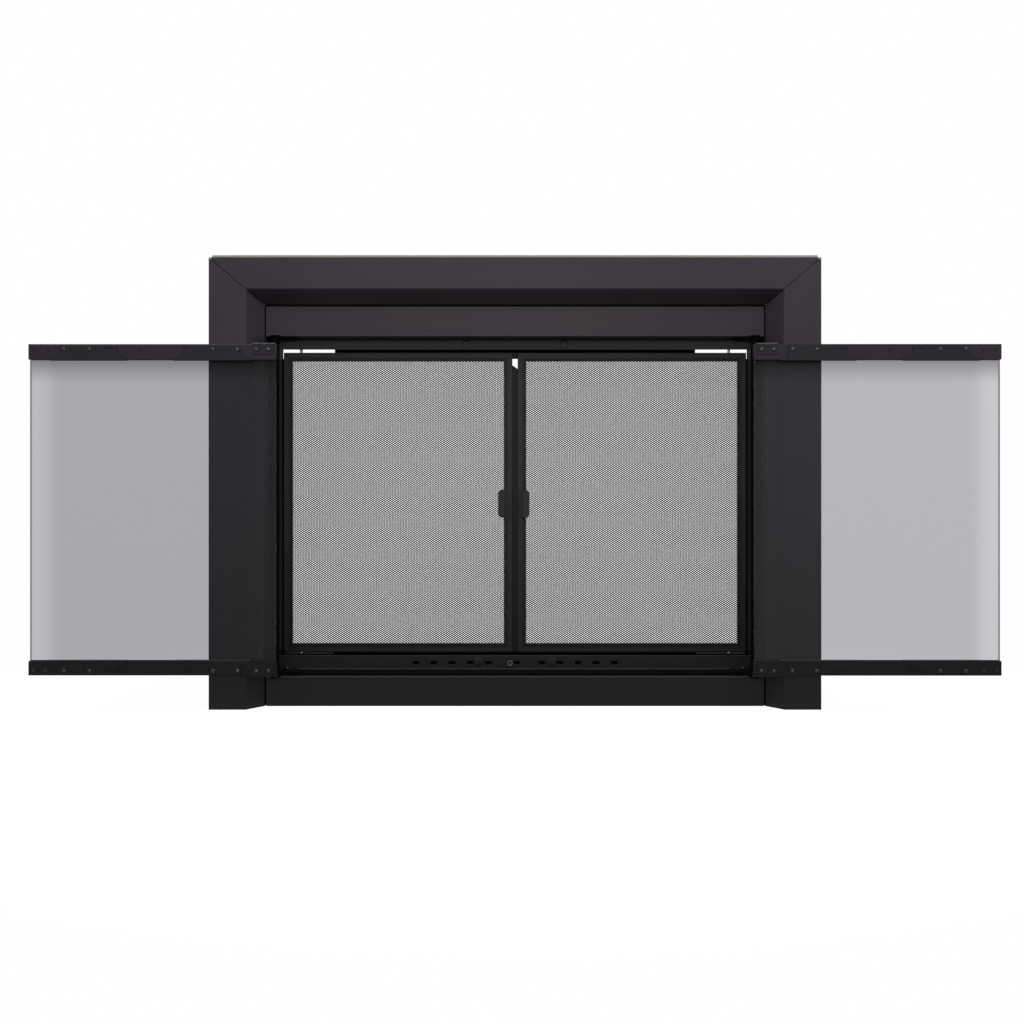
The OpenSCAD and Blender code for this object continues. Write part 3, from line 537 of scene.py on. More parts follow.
def paint_upward_faces(made: Object, finish: Finish, heights_mm: tuple[float, float], tilt: Tilt = Tilt.BEND) -> None:
    """Paints a highlight or shade on the faces of a piece that look upwards, such as the top of a fold.

    Args:
        made: The piece, which already has its own finish.
        finish: The painted highlight or painted shade that shows there.
        heights_mm: The lowest and highest Z of those faces' middles.
        tilt: Which of the faces at that height are meant.
    """
    made.data.materials.append(finish.material())
    low, high = tilt.value
    for face in made.data.polygons:
        if heights_mm[0] < face.center.z / MM < heights_mm[1] and low < face.normal.z < high:
            face.material_index = len(made.data.materials) - 1


def local_width(edge: bmesh.types.BMEdge, face: bmesh.types.BMFace, least_mm: float = 0.01) -> float:
    """Measures a face square to one of its edges.

    Args:
        edge: The edge.
        face: The face.
        least_mm: A width under this belongs to the edge itself and doesn't count.

    Returns:
        The distance from the edge's middle to the edge across, in metres, or 0 if there is none.
    """
    start = (edge.verts[0].co + edge.verts[1].co) / 2
    along = (edge.verts[1].co - edge.verts[0].co).normalized()
    inwards = face.normal.cross(along)
    loop = next(one for one in edge.link_loops if one.face == face)
    if loop.vert != edge.verts[0]:
        inwards = -inwards
    widths = []
    for other in face.edges:
        if other == edge:
            continue
        (u0, v0), (u1, v1) = (((v.co - start).dot(along), (v.co - start).dot(inwards)) for v in other.verts)
        if u0 * u1 <= 0 and u0 != u1:
            across = v0 + (v1 - v0) * u0 / (u0 - u1)
            if across > least_mm * MM:
                widths.append(across)
    return min(widths, default=0.0)


@dataclass(frozen=True)
class Folds:
    """Radii in millimetres that a press brake leaves on folded sheet: its outer bends and its cut edges.

    An edge beside a face no wider than cut_face times the sheet's wall is a cut edge. The others are
    bends. Edges that turn by less than least_turn_deg stay as they are.
    """

    bend: float
    edge: float = 0.3
    wall: float = 1.5
    segments: int = 3
    cut_face: float = 1.6
    least_turn_deg: float = 28.0
    flat_deg: float = 0.4
    flat_weight: int = 100

    def weigh(self, bm: bmesh.types.BMesh) -> None:
        """Marks each sharp edge with its own radius, as a share of the larger one.

        Args:
            bm: The shape.
        """
        layer = bm.edges.layers.float.new("bevel_weight_edge")
        for edge in bm.edges:
            if len(edge.link_faces) != 2:
                continue
            turn = edge.calc_face_angle_signed(0.0)
            if abs(turn) < math.radians(self.least_turn_deg):
                continue
            radius = self.edge
            if min(local_width(edge, face) for face in edge.link_faces) > self.cut_face * self.wall * MM:
                radius = self.bend if turn > 0 else max(self.bend - self.wall, self.edge)
            edge[layer] = radius / max(self.bend, self.edge)

    def soften(self, node: str, name: str) -> Object:
        """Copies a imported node's mesh and rounds its folds and edges.

        Args:
            node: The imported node.
            name: The copy's name.

        Returns:
            The rounded copy, not yet riding on a body.
        """
        bm = bmesh.new()
        bm.from_mesh(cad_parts[node].data)
        bmesh.ops.remove_doubles(bm, verts=bm.verts, dist=WELD_MM * MM)
        bmesh.ops.dissolve_limit(bm, angle_limit=math.radians(self.flat_deg), verts=bm.verts, edges=bm.edges)
        self.weigh(bm)
        mesh = as_mesh(name, bm)
        rough = as_object(name + "_plain", mesh)
        rounding = rough.modifiers.new("rounding", "BEVEL")
        rounding.limit_method = "WEIGHT"
        rounding.width = max(self.bend, self.edge) * MM
        rounding.segments = self.segments
        rounding.use_clamp_overlap = False
        # The flats keep their own normals, so only the rounded folds shade from one flat to the next.
        rough.modifiers.new("flats", "WEIGHTED_NORMAL").weight = self.flat_weight
        for face in mesh.polygons:
            face.use_smooth = True
        return baked(rough, name)


def folded(nodes: Iterable[str], body: str, finish: Finish, folds: Folds) -> list[Object]:
    """Replaces packed sheet-steel nodes by copies with rounded folds.

    Args:
        nodes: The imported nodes.
        body: The body that they belong to.
        finish: Their finish.
        folds: The radii of their bends and edges.

    Returns:
        The copies.
    """
    return [settle(folds.soften(node, node + "_folded"), body, finish, (node,)) for node in nodes]


def lathe(profile: list[tuple[float, float]], steps: int) -> bmesh.types.BMesh:
    """Turns a profile round the Y axis.

    Args:
        profile: Points (radius, distance towards -Y) in millimetres, from the seat to the tip.
        steps: How many flats make a turn.

    Returns:
        The turned shape, with its normals outwards.
    """
    bm = bmesh.new()
    line = [bm.verts.new((r * MM, -y * MM, 0.0)) for r, y in profile]
    sides = [bm.edges.new(pair) for pair in zip(line, line[1:])]
    bmesh.ops.spin(bm, geom=line + sides, cent=(0, 0, 0), axis=(0, 1, 0), angle=FULL_TURN, steps=steps)
    bmesh.ops.remove_doubles(bm, verts=bm.verts, dist=POLE_MM * MM)
    bmesh.ops.recalc_face_normals(bm, faces=bm.faces)
    return bm


# ---- screws ----


@dataclass(frozen=True)
class ScrewHead:
    """A domed head with a cross recess on a plain shank, in millimetres.

    The shares are of the head's height for the rim, of the cross's span for the width of an arm, and of
    that span for its foot.
    """

    radius: float
    height: float
    shank: float
    cross: float
    depth: float
    steps: int = 28
    rim_share: float = 0.3
    arm_share: float = 0.2
    foot_share: float = 0.35
    dome_step_deg: int = 18

    def profile(self, length: float) -> list[tuple[float, float]]:
        """Gives the outline from the shank's tip over the dome to the middle.

        Args:
            length: The shank's length.

        Returns:
            Points (radius, distance towards -Y).
        """
        rim = self.rim_share * self.height
        rise = [(self.radius * math.cos(a), rim + (self.height - rim) * math.sin(a))
                for a in (math.radians(d) for d in range(0, 90, self.dome_step_deg))]
        return [(0.0, -length), (self.shank, -length), (self.shank, 0.0), (self.radius, 0.0),
                *rise, (0.0, self.height)]

    def dome(self, out: float) -> float:
        """Gives the dome's height above the seat at a distance from the axis, both in millimetres."""
        rim = self.rim_share * self.height
        return rim + (self.height - rim) * math.sqrt(max(0.0, 1 - (out / self.radius) ** 2))

    def recess(self) -> bmesh.types.BMesh:
        """Makes the cross that the recess is cut with: two arms that narrow towards their foot.

        Returns:
            The cross, in place on the dome.
        """
        bm = bmesh.new()
        size = Vector((self.cross, 2 * self.depth, self.cross * self.arm_share)) * MM
        for turn in (0.0, math.pi / 2):
            arm = bmesh.ops.create_cube(bm, size=1.0)["verts"]
            bmesh.ops.scale(bm, verts=arm, vec=size)
            for v in arm:
                if v.co.y > 0:
                    v.co.x *= self.foot_share
            bmesh.ops.rotate(bm, verts=arm, cent=(0, 0, 0), matrix=Matrix.Rotation(turn, 3, "Y"))
        bmesh.ops.translate(bm, verts=bm.verts, vec=(0, -self.height * MM, 0))
        return bm

    def build(self, name: str, facing: Facing, length: float) -> Object:
        """Makes the head round the origin and keeps it out of the scene.

        Args:
            name: The object's name.
            facing: The way the head looks.
            length: The shank's length.

        Returns:
            The head's object, used only as a stamp.
        """
        head = as_object(name + "_blank", as_mesh(name, lathe(self.profile(length), self.steps)))
        cutter = as_object(name + "_cross", as_mesh(name + "_cross", self.recess()))
        cut = head.modifiers.new("recess", "BOOLEAN")
        cut.operation = "DIFFERENCE"
        cut.solver = "EXACT"
        cut.use_self = True
        cut.object = cutter
        stamp = baked(head, name)
        bpy.data.objects.remove(cutter)
        if facing is Facing.BACK:
            stamp.data.transform(Matrix.Rotation(math.pi, 4, "Z"))
        smooth(stamp.data, CREASE_DEG)
        bpy.context.scene.collection.objects.unlink(stamp)
        return stamp


@dataclass(frozen=True)
class GroupInput:
    """A named input of a Geometry Nodes tree."""

    name: str
    kind: str


def new_tree(name: str, *wanted: GroupInput) -> tuple[NodeTree, Node, Node]:
    """Starts a Geometry Nodes tree.

    Args:
        name: The tree's name.
        wanted: Its inputs after the geometry.

    Returns:
        The tree, its input node and its output node.
    """
    tree = bpy.data.node_groups.new(name, "GeometryNodeTree")
    tree.interface.new_socket("Geometry", in_out="INPUT", socket_type="NodeSocketGeometry")
    tree.interface.new_socket("Geometry", in_out="OUTPUT", socket_type="NodeSocketGeometry")
    for one in wanted:
        tree.interface.new_socket(one.name, in_out="INPUT", socket_type=one.kind)
    return tree, tree.nodes.new("NodeGroupInput"), tree.nodes.new("NodeGroupOutput")


def finish_tree(tree: NodeTree, given: Node, out: Node, instances: NodeSocket) -> None:
    """Ends a tree in Realize Instances and Set Material.

    Args:
        tree: The tree.
        given: Its input node, which has an input named Finish.
        out: Its output node.
        instances: The geometry to end with.
    """
    real = add(tree, "GeometryNodeRealizeInstances", inputs={0: instances})
    coated = add(tree, "GeometryNodeSetMaterial", inputs={
        0: real.outputs[0], "Material": given.outputs["Finish"]})
    tree.links.new(coated.outputs[0], out.inputs[0])


def grown(host: Object, tree: NodeTree, values: dict[str, Any], name: str) -> Object:
    """Runs a tree on a host object and turns the result into a plain mesh.

    Args:
        host: The object whose mesh feeds the tree. It is removed.
        tree: The Geometry Nodes tree.
        values: The tree's inputs by name.
        name: The result's name.

    Returns:
        The result, at the origin.
    """
    grow = host.modifiers.new("grow", "NODES")
    grow.node_group = tree
    sockets = {s.name: s.identifier for s in tree.interface.items_tree if s.in_out == "INPUT"}
    for key, value in values.items():
        grow[sockets[key]] = value
    return baked(host, name)


def screw_tree() -> NodeTree:
    """Makes the tree that stamps a screw on each point, each turned by its own chance angle.

    Returns:
        The tree, which is made only once.
    """
    made = bpy.data.node_groups.get("screws_on_points")
    if made is not None:
        return made
    tree, given, out = new_tree(
        "screws_on_points", GroupInput("Head", "NodeSocketObject"), GroupInput("Seed", "NodeSocketInt"),
        GroupInput("Finish", "NodeSocketMaterial"))
    stamp = add(tree, "GeometryNodeObjectInfo", inputs={"Object": given.outputs["Head"]})
    chance = add(tree, "FunctionNodeRandomValue", {"data_type": "FLOAT"}, {
        2: 0.0, 3: math.pi / 2, "Seed": given.outputs["Seed"]})
    turned = add(tree, "ShaderNodeCombineXYZ", inputs={"Y": chance.outputs[1]})
    placed = add(tree, "GeometryNodeInstanceOnPoints", inputs={
        "Points": given.outputs["Geometry"], "Instance": stamp.outputs["Geometry"],
        "Rotation": turned.outputs[0]})
    finish_tree(tree, given, out, placed.outputs[0])
    return tree


def solids_of(node: str) -> list[tuple[Vector, Vector]]:
    """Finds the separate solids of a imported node.

    Args:
        node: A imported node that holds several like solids.

    Returns:
        The lowest and highest corner of each solid, in metres.
    """
    bm = bmesh.new()
    bm.from_mesh(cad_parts[node].data)
    bmesh.ops.remove_doubles(bm, verts=bm.verts, dist=WELD_MM * MM)
    left = set(bm.verts)
    found: list[tuple[Vector, Vector]] = []
    while left:
        group = [left.pop()]
        for v in group:
            for e in v.link_edges:
                other = e.other_vert(v)
                if other in left:
                    left.remove(other)
                    group.append(other)
        low = Vector(min(v.co[i] for v in group) for i in range(3))
        high = Vector(max(v.co[i] for v in group) for i in range(3))
        found.append((low, high))
    bm.free()
    return found


def screws(node: str, body: str, head: ScrewHead, finish: Finish, seed: int,
           recess_wear_and_highlight: Optional[Finish] = None) -> None:
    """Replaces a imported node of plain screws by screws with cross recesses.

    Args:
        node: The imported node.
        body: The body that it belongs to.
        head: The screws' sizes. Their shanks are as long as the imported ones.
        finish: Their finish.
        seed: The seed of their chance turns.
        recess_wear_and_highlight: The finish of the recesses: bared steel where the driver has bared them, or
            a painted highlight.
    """
    groups: dict[tuple[Facing, float], list[Vector]] = {}
    for low, high in solids_of(node):
        middle = (low + high) / 2
        facing = Facing.FRONT if wide_end_is_front(node, low, high, head) else Facing.BACK
        seat = low.y + head.height * MM if facing is Facing.FRONT else high.y - head.height * MM
        kind = facing, round((high.y - low.y) / MM, 2)
        groups.setdefault(kind, []).append(Vector((middle.x, seat, middle.z)))
    in_order = sorted(groups.items(), key=lambda one: (one[0][0].value, one[0][1]))
    parts = []
    for number, ((facing, deep), places) in enumerate(in_order):
        stamp = head.build(f"{node}_stamp_{number}", facing, deep - head.height)
        points = bpy.data.meshes.new(f"{node}_points_{number}")
        points.from_pydata(places, [], [])
        host = as_object(f"{node}_host_{number}", points)
        parts.append(grown(host, screw_tree(), {
            "Head": stamp, "Seed": seed + number, "Finish": finish.material()}, f"{node}_part_{number}"))
        bpy.data.objects.remove(stamp)
    made = settle(joined(parts, node + "_crossed"), body, finish, (node,))
    if recess_wear_and_highlight is not None:
        seats = [(facing, place) for (facing, _), places in groups.items() for place in places]
        finish_recesses(made, head, seats, recess_wear_and_highlight)


def finish_recesses(made: Object, head: ScrewHead, seats: list[tuple[Facing, Vector]], recess_wear_and_highlight: Finish,
                  skin_mm: float = 0.15) -> None:
    """Gives the walls and floors of the recesses a finish of their own.

    Args:
        made: The screws, as one piece.
        head: Their sizes.
        seats: The way each one looks, and the middle of its seat.
        recess_wear_and_highlight: The finish: bared steel, or a painted highlight.
        skin_mm: How far under the dome a face lies at least to count as one of the recess.
    """
    made.data.materials.append(recess_wear_and_highlight.material())
    for face in made.data.polygons:
        facing, place = min(seats, key=lambda one: (one[1] - face.center).length)
        out = math.hypot(face.center.x - place.x, face.center.z - place.z) / MM
        height = (face.center.y - place.y) * facing.value / MM
        if 0 < height < head.dome(out) - skin_mm and out < head.cross / 2:
            face.material_index = 1


def wide_end_is_front(node: str, low: Vector, high: Vector, head: ScrewHead) -> bool:
    """Tells whether a packed screw's head is at its front end.

    Args:
        node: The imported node.
        low: The screw's lowest corner.
        high: Its highest corner.
        head: Its sizes.

    Returns:
        True if the vertices furthest from its axis lie in its front half.
    """
    middle = (low + high) / 2
    slack = MM / 10
    near_rim = 0.9 * head.radius * MM
    rim = [v.co.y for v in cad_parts[node].data.vertices
           if all(low[i] - slack < v.co[i] < high[i] + slack for i in range(3))
           and math.hypot(v.co.x - middle.x, v.co.z - middle.z) > near_rim]
    return sum(rim) / len(rim) < middle.y


def joined(objects: list[Object], name: str) -> Object:
    """Joins several mesh objects that stand at the origin into one.

    Args:
        objects: The objects, which are removed.
        name: The name of the whole.

    Returns:
        The joined object.
    """
    bm = bmesh.new()
    for one in objects:
        bm.from_mesh(one.data)
    mesh = as_mesh(name, bm)
    for one in objects:
        bpy.data.objects.remove(one)
    return as_object(name, smooth(mesh, CREASE_DEG))


# ---- the expanded mesh ----


def screen_tree() -> NodeTree:
    """Makes the tree for expanded mesh: rows of zigzag strands that meet at their tips.

    Returns:
        The tree, which is made only once.
    """
    made = bpy.data.node_groups.get("expanded_mesh")
    if made is not None:
        return made
    tree, given, out = new_tree(
        "expanded_mesh", GroupInput("Start", "NodeSocketVector"), GroupInput("Cell width", "NodeSocketFloat"),
        GroupInput("Cell height", "NodeSocketFloat"), GroupInput("Points across", "NodeSocketInt"),
        GroupInput("Strands", "NodeSocketInt"), GroupInput("Strand width", "NodeSocketFloat"),
        GroupInput("Strand depth", "NodeSocketFloat"), GroupInput("Finish", "NodeSocketMaterial"))
    half_w = maths(tree, "MULTIPLY", given.outputs["Cell width"], 0.5)
    half_h = maths(tree, "MULTIPLY", given.outputs["Cell height"], 0.5)
    odd = maths(tree, "MODULO", add(tree, "GeometryNodeInputIndex").outputs[0], 2.0)
    in_a_row = {"mode": "OFFSET", "count_mode": "TOTAL"}
    # One strand: a line of points, every other one raised, with a flat bar run along it.
    step = add(tree, "ShaderNodeCombineXYZ", inputs={"X": half_w})
    line = add(tree, "GeometryNodeMeshLine", in_a_row, {
        "Count": given.outputs["Points across"], "Offset": step.outputs[0]})
    raised = add(tree, "ShaderNodeCombineXYZ", inputs={"Z": maths(tree, "MULTIPLY", odd, half_h)})
    zigzag = add(tree, "GeometryNodeSetPosition", inputs={
        "Geometry": line.outputs[0], "Offset": raised.outputs[0]})
    path = add(tree, "GeometryNodeMeshToCurve", inputs={0: zigzag.outputs[0]})
    upright = add(tree, "GeometryNodeSetCurveNormal", {"mode": "Z_UP"}, {0: path.outputs[0]})
    bar = add(tree, "GeometryNodeCurvePrimitiveQuadrilateral", inputs={
        "Width": given.outputs["Strand depth"], "Height": given.outputs["Strand width"]})
    strand = add(tree, "GeometryNodeCurveToMesh", inputs={
        "Curve": upright.outputs[0], "Profile Curve": bar.outputs[0], "Fill Caps": True})
    # The rows: each strand starts half a cell after the one below it, so their tips meet.
    rise = add(tree, "ShaderNodeCombineXYZ", inputs={"Z": half_h})
    rows = add(tree, "GeometryNodeMeshLine", in_a_row, {
        "Count": given.outputs["Strands"], "Start Location": given.outputs["Start"],
        "Offset": rise.outputs[0]})
    shift = add(tree, "ShaderNodeCombineXYZ", inputs={"X": maths(tree, "MULTIPLY", odd, half_w)})
    staggered = add(tree, "GeometryNodeSetPosition", inputs={
        "Geometry": rows.outputs[0], "Offset": shift.outputs[0]})
    placed = add(tree, "GeometryNodeInstanceOnPoints", inputs={
        "Points": staggered.outputs[0], "Instance": strand.outputs[0]})
    finish_tree(tree, given, out, placed.outputs[0])
    return tree


# ---- sub-assemblies ----


RAIL_SCREW_SEEDS = {Side.LEFT: 20, Side.RIGHT: 40}
TRUSS_HEAD = ScrewHead(radius=7.6, height=2.0, shank=2.0, cross=6.0, depth=1.2, steps=36)
PAN_HEAD = ScrewHead(radius=3.6, height=2.0, shank=1.6, cross=4.2, depth=1.3)
# The widths of the surround's side and top bands, whose ratio slants the mitres.
BANDS_MM = (62.0, 53.0)


@dataclass
class Surround:
    """The mitred members, their corner plates and the sealing tape on top."""

    folds: Folds = field(default_factory=lambda: Folds(bend=2.0, edge=0.35))
    ground_mm: float = 0.3
    near_mitre_mm: float = 1.0

    def build(self) -> None:
        """Rounds the members' folds and dresses what holds them."""
        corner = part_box("surround_left")[0].x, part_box("surround_top")[1].z
        inwards, down = Vector((1, 0, 0)), Vector((0, 0, -1))
        for node, way in (("surround_top", inwards), ("surround_left", down), ("surround_right", down)):
            member = self.folds.soften(node, node + "_folded")
            self.grind(member, corner, self.ground_mm * MM * way)
            settle(member, "frame", SURROUND_ENAMEL, (node,))
        dress(("sealing_strip",), SEAL)
        # The corner brackets are near-black, so that the seams in front of them read as painted shade.
        dress(("corner_brackets",), JAMB_ENAMEL)

    def grind(self, member: Object, corner: tuple[float, float], shift: Vector) -> None:
        """Takes a hair off a member's mitred ends, so that the seam reads as a dark line.

        Args:
            member: The member, which loses the hair along its own length.
            corner: X of the surround's left end and Z of its top.
            shift: The move of the left end. At the right end its X is turned round.
        """
        side, top = BANDS_MM
        for v in member.data.vertices:
            left = v.co.x < 0
            in_from_end = abs(corner[0]) - abs(v.co.x)
            off = (in_from_end * top - (corner[1] - v.co.z) * side) / math.hypot(side, top)
            if abs(off) < self.near_mitre_mm * MM:
                v.co += shift if left else Vector((-shift.x, shift.y, shift.z))


@dataclass
class Fascia:
    """The header plate, the bottom rail, and the dark inner header, sill and jambs behind them.

    The sheets' bends and the sill's lip lie between the heights that are given for them.
    """

    folds: Folds = field(default_factory=lambda: Folds(bend=1.6, edge=0.35))
    inner_folds: Folds = field(default_factory=lambda: Folds(bend=1.1, edge=0.3))
    rail_bend_mm: tuple[float, float] = (48.0, 50.9)
    lip_mm: tuple[float, float] = (58.5, 60.0)
    sill_bend_mm: tuple[float, float] = (80.3, 81.7)

    def build(self) -> None:
        """Rounds every folded sheet and dresses the rest."""
        folded(("header_plate",), "frame", HEADER_ENAMEL, self.folds)
        # The bottom rail's top is near-black as painted shade, and its front bend gets a painted highlight.
        rail, = folded(("bottom_rail",), "frame", RAIL_ENAMEL, self.folds)
        paint_upward_faces(rail, HIGHLIGHT_ENAMEL, self.rail_bend_mm)
        folded(("inner_header",), "frame", INNER_ENAMEL, self.inner_folds)
        # The sill is near-black below its lip and on its top as painted shade; its lip and front bend get
        # painted highlights.
        sill, = folded(("sill",), "frame", SILL_ENAMEL, self.inner_folds)
        paint_upward_faces(sill, HIGHLIGHT_ENAMEL, self.lip_mm, Tilt.BEND_AND_TOP)
        paint_upward_faces(sill, HIGHLIGHT_ENAMEL, self.sill_bend_mm, Tilt.WIDE_BEND)
        paint_upward_faces(sill, SHADE_BLACK_ENAMEL, self.sill_bend_mm, Tilt.TOP)
        folded(("jamb_left", "jamb_right"), "frame", JAMB_ENAMEL, self.inner_folds)
        dress(("mesh_stop_strip", "top_pivot_brackets", "bottom_pivot_brackets", "top_hinge_brackets",
               "bottom_hinge_brackets"), JAMB_ENAMEL)
        dress(("mesh_catch",), MAGNET)


@dataclass
class Seams:
    """Near-black beads behind the seams of the surround and its infill, which darken them as painted shade.

    The beads run behind the header's front and under its top, stop short of the plates' ends, and start at
    a distance from the surround's outer corners. A mitre's bead is sunk by a share of its own radius.
    """

    radius_mm: float = 1.3
    step_mm: float = 7.0
    unevenness: float = 0.08
    sheet_mm: float = 1.5
    sunk_share: float = 0.7
    behind_mm: float = 2.4
    under_mm: float = 0.4
    short_mm: float = 2.0
    corner_mm: float = 4.0
    seed: int = 5

    def bead(self, ends: tuple[Vector, Vector], name: str) -> Object:
        """Runs a slightly uneven bead from one point to another.

        Args:
            ends: Its two ends, in metres.
            name: Its name.

        Returns:
            The bead as a closed mesh.
        """
        start, end = ends
        count = max(2, round((end - start).length / (self.step_mm * MM)) + 1)
        data = bpy.data.curves.new(name + "_line", "CURVE")
        data.dimensions = "3D"
        data.bevel_depth = self.radius_mm * MM
        data.bevel_resolution = 2
        data.use_fill_caps = True
        line = data.splines.new("POLY")
        line.points.add(count - 1)
        chance = random.Random(self.seed)
        for number, point in enumerate(line.points):
            point.co = (*start.lerp(end, number / (count - 1)), 1.0)
            point.radius = 1 + chance.uniform(-self.unevenness, self.unevenness)
        return baked(as_object(name + "_host", data), name)

    def build(self) -> None:
        """Lays a bead behind each seam."""
        header_low, header_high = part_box("header_plate")
        rail_low, rail_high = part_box("bottom_rail")
        lip, edge = (corner.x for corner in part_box("surround_right"))
        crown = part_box("surround_top")[1].z
        deep = header_low.y + self.behind_mm * MM
        gap = header_high.z - self.under_mm * MM
        top = gap - self.radius_mm * MM
        short = self.short_mm * MM
        runs = {"header_top": (Vector((-lip, deep, gap)), Vector((lip, deep, gap)))}
        for sign, side in ((-1, "left"), (1, "right")):
            x = sign * (header_high.x + lip) / 2
            runs["header_" + side] = (Vector((x, deep, header_low.z + short)), Vector((x, deep, top)))
            runs["rail_" + side] = (Vector((x, deep, rail_low.z + short)),
                                    Vector((x, deep, rail_high.z - short)))
            outer, inner = self.mitre(sign)
            in_corner = edge - self.corner_mm * MM
            corner = Vector((sign * in_corner, outer.y, crown - self.corner_mm * MM))
            runs["band_" + side] = (corner, outer)
            runs["mitre_" + side] = (outer, inner)
        beads = [self.bead(ends, name + "_bead") for name, ends in runs.items()]
        settle(joined(beads, "sealant_beads"), "frame", SEAM_SHADE)

    def mitre(self, sign: int) -> tuple[Vector, Vector]:
        """Finds the line just behind the seam of two bevels.

        Args:
            sign: -1 for the left seam and 1 for the right one.

        Returns:
            Its ends, in metres.
        """
        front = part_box("surround_top")[0].y
        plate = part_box("header_plate")[0].y
        lip, edge = (corner.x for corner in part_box("surround_right"))
        side, top = BANDS_MM
        outer = Vector((edge - side * MM, front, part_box("surround_top")[1].z - top * MM))
        run = outer.x - lip
        inner = Vector((outer.x - run, plate, outer.z - run * top / side))
        along = inner - outer
        faces = (Vector((-along.y, along.x, 0)).normalized(), Vector((0, along.z, -along.y)).normalized())
        back = (faces[0] + faces[1]).normalized()
        depth = (self.sheet_mm + self.sunk_share * self.radius_mm) * MM / back.dot(faces[0])
        ends = (outer - back * depth, inner - back * depth)
        return tuple(Vector((sign * one.x, one.y, one.z)) for one in ends)


@dataclass
class Fixings:
    """Clamps, hearth brackets, pins and screws of the frame."""

    truss_seed: int = 7
    pan_seed: int = 17

    def build(self) -> None:
        """Dresses the plated steel and replaces the screws."""
        dress(("lintel_clamps", "clamp_bolts", "clamp_nuts"), ZINC)
        dress(("hinge_spacers",), BLACK_SCREW)
        # Near-black as painted shade: the brackets show through the sill's slots.
        dress(("hearth_brackets",), SHADE_BLACK_ENAMEL)
        dress(("hinge_pins",), JAMB_ENAMEL)
        screws("bracket_screws", "frame", TRUSS_HEAD, TRUSS_SCREW, self.truss_seed)
        # The frame screws' recesses get a painted highlight.
        screws("frame_screws", "frame", PAN_HEAD, BLACK_SCREW, self.pan_seed, HIGHLIGHT_ENAMEL)


@dataclass
class Damper:
    """The sliding damper plate and its turned knob, which a dark screw holds from the front.

    A point of the dish or socket is a share of the knob's radius and a depth under its front in millimetres.
    """

    head_mm: float = 7.0
    stem_mm: float = 1.9
    back_chamfer_mm: float = 0.5
    chamfer_mm: float = 0.7
    dish: tuple[tuple[float, float], ...] = ((0.76, 0.0), (0.62, 0.6), (0.3, 2.6), (0.0, 3.0))
    socket: tuple[tuple[float, float], ...] = (
        (0.0, 3.6), (0.5, 3.6), (0.66, 0.5), (0.5, 1.0), (0.3, 1.3), (0.24, 2.4), (0.0, 2.4))
    steps: int = 48
    crease_deg: float = 30.0

    def build(self) -> None:
        """Dresses the plate and turns the knob."""
        # Near-black as painted shade: the plate shows only through the sill's slots.
        dress(("damper_plate",), SHADE_BLACK_ENAMEL)
        low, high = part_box("damper_knob")
        radius = (high.x - low.x) / 2 / MM
        front = (high.y - low.y) / MM
        seat = front - self.head_mm
        dish, socket = ([(radius * share, front - deep) for share, deep in shape]
                        for shape in (self.dish, self.socket))
        profile = [(0.0, 0.0), (self.stem_mm, 0.0), (self.stem_mm, seat),
                   (radius - self.back_chamfer_mm, seat), (radius, seat + self.back_chamfer_mm),
                   (radius, front - self.chamfer_mm), (radius - self.chamfer_mm, front), *dish]
        centre = Vector(((low.x + high.x) / 2, high.y, (low.z + high.z) / 2))
        steel = TurnedSteel("turned_steel", "knob_steel", centre.x / MM, centre.z / MM)
        settle(self.turned(profile, centre, "turned_knob"), "damper", steel, ("damper_knob",))
        settle(self.turned(socket, centre, "knob_socket"), "damper", BLACK_SCREW)

    def turned(self, profile: list[tuple[float, float]], centre: Vector, name: str) -> Object:
        """Turns a profile round the knob's axis.

        Args:
            profile: Points (radius, distance towards -Y) in millimetres.
            centre: Where the axis meets the profile's zero.
            name: The piece's name.

        Returns:
            The turned piece, not yet riding on a body.
        """
        bm = lathe(profile, self.steps)
        bmesh.ops.translate(bm, verts=bm.verts, vec=centre)
        return as_object(name, smooth(as_mesh(name, bm), self.crease_deg))


@dataclass
class Door:
    """What a glass door and a mesh door have in common."""

    side: Side

    def node(self, name: str) -> str:
        """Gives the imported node's name on this door's side."""
        return f"{self.side.value}_{name}"


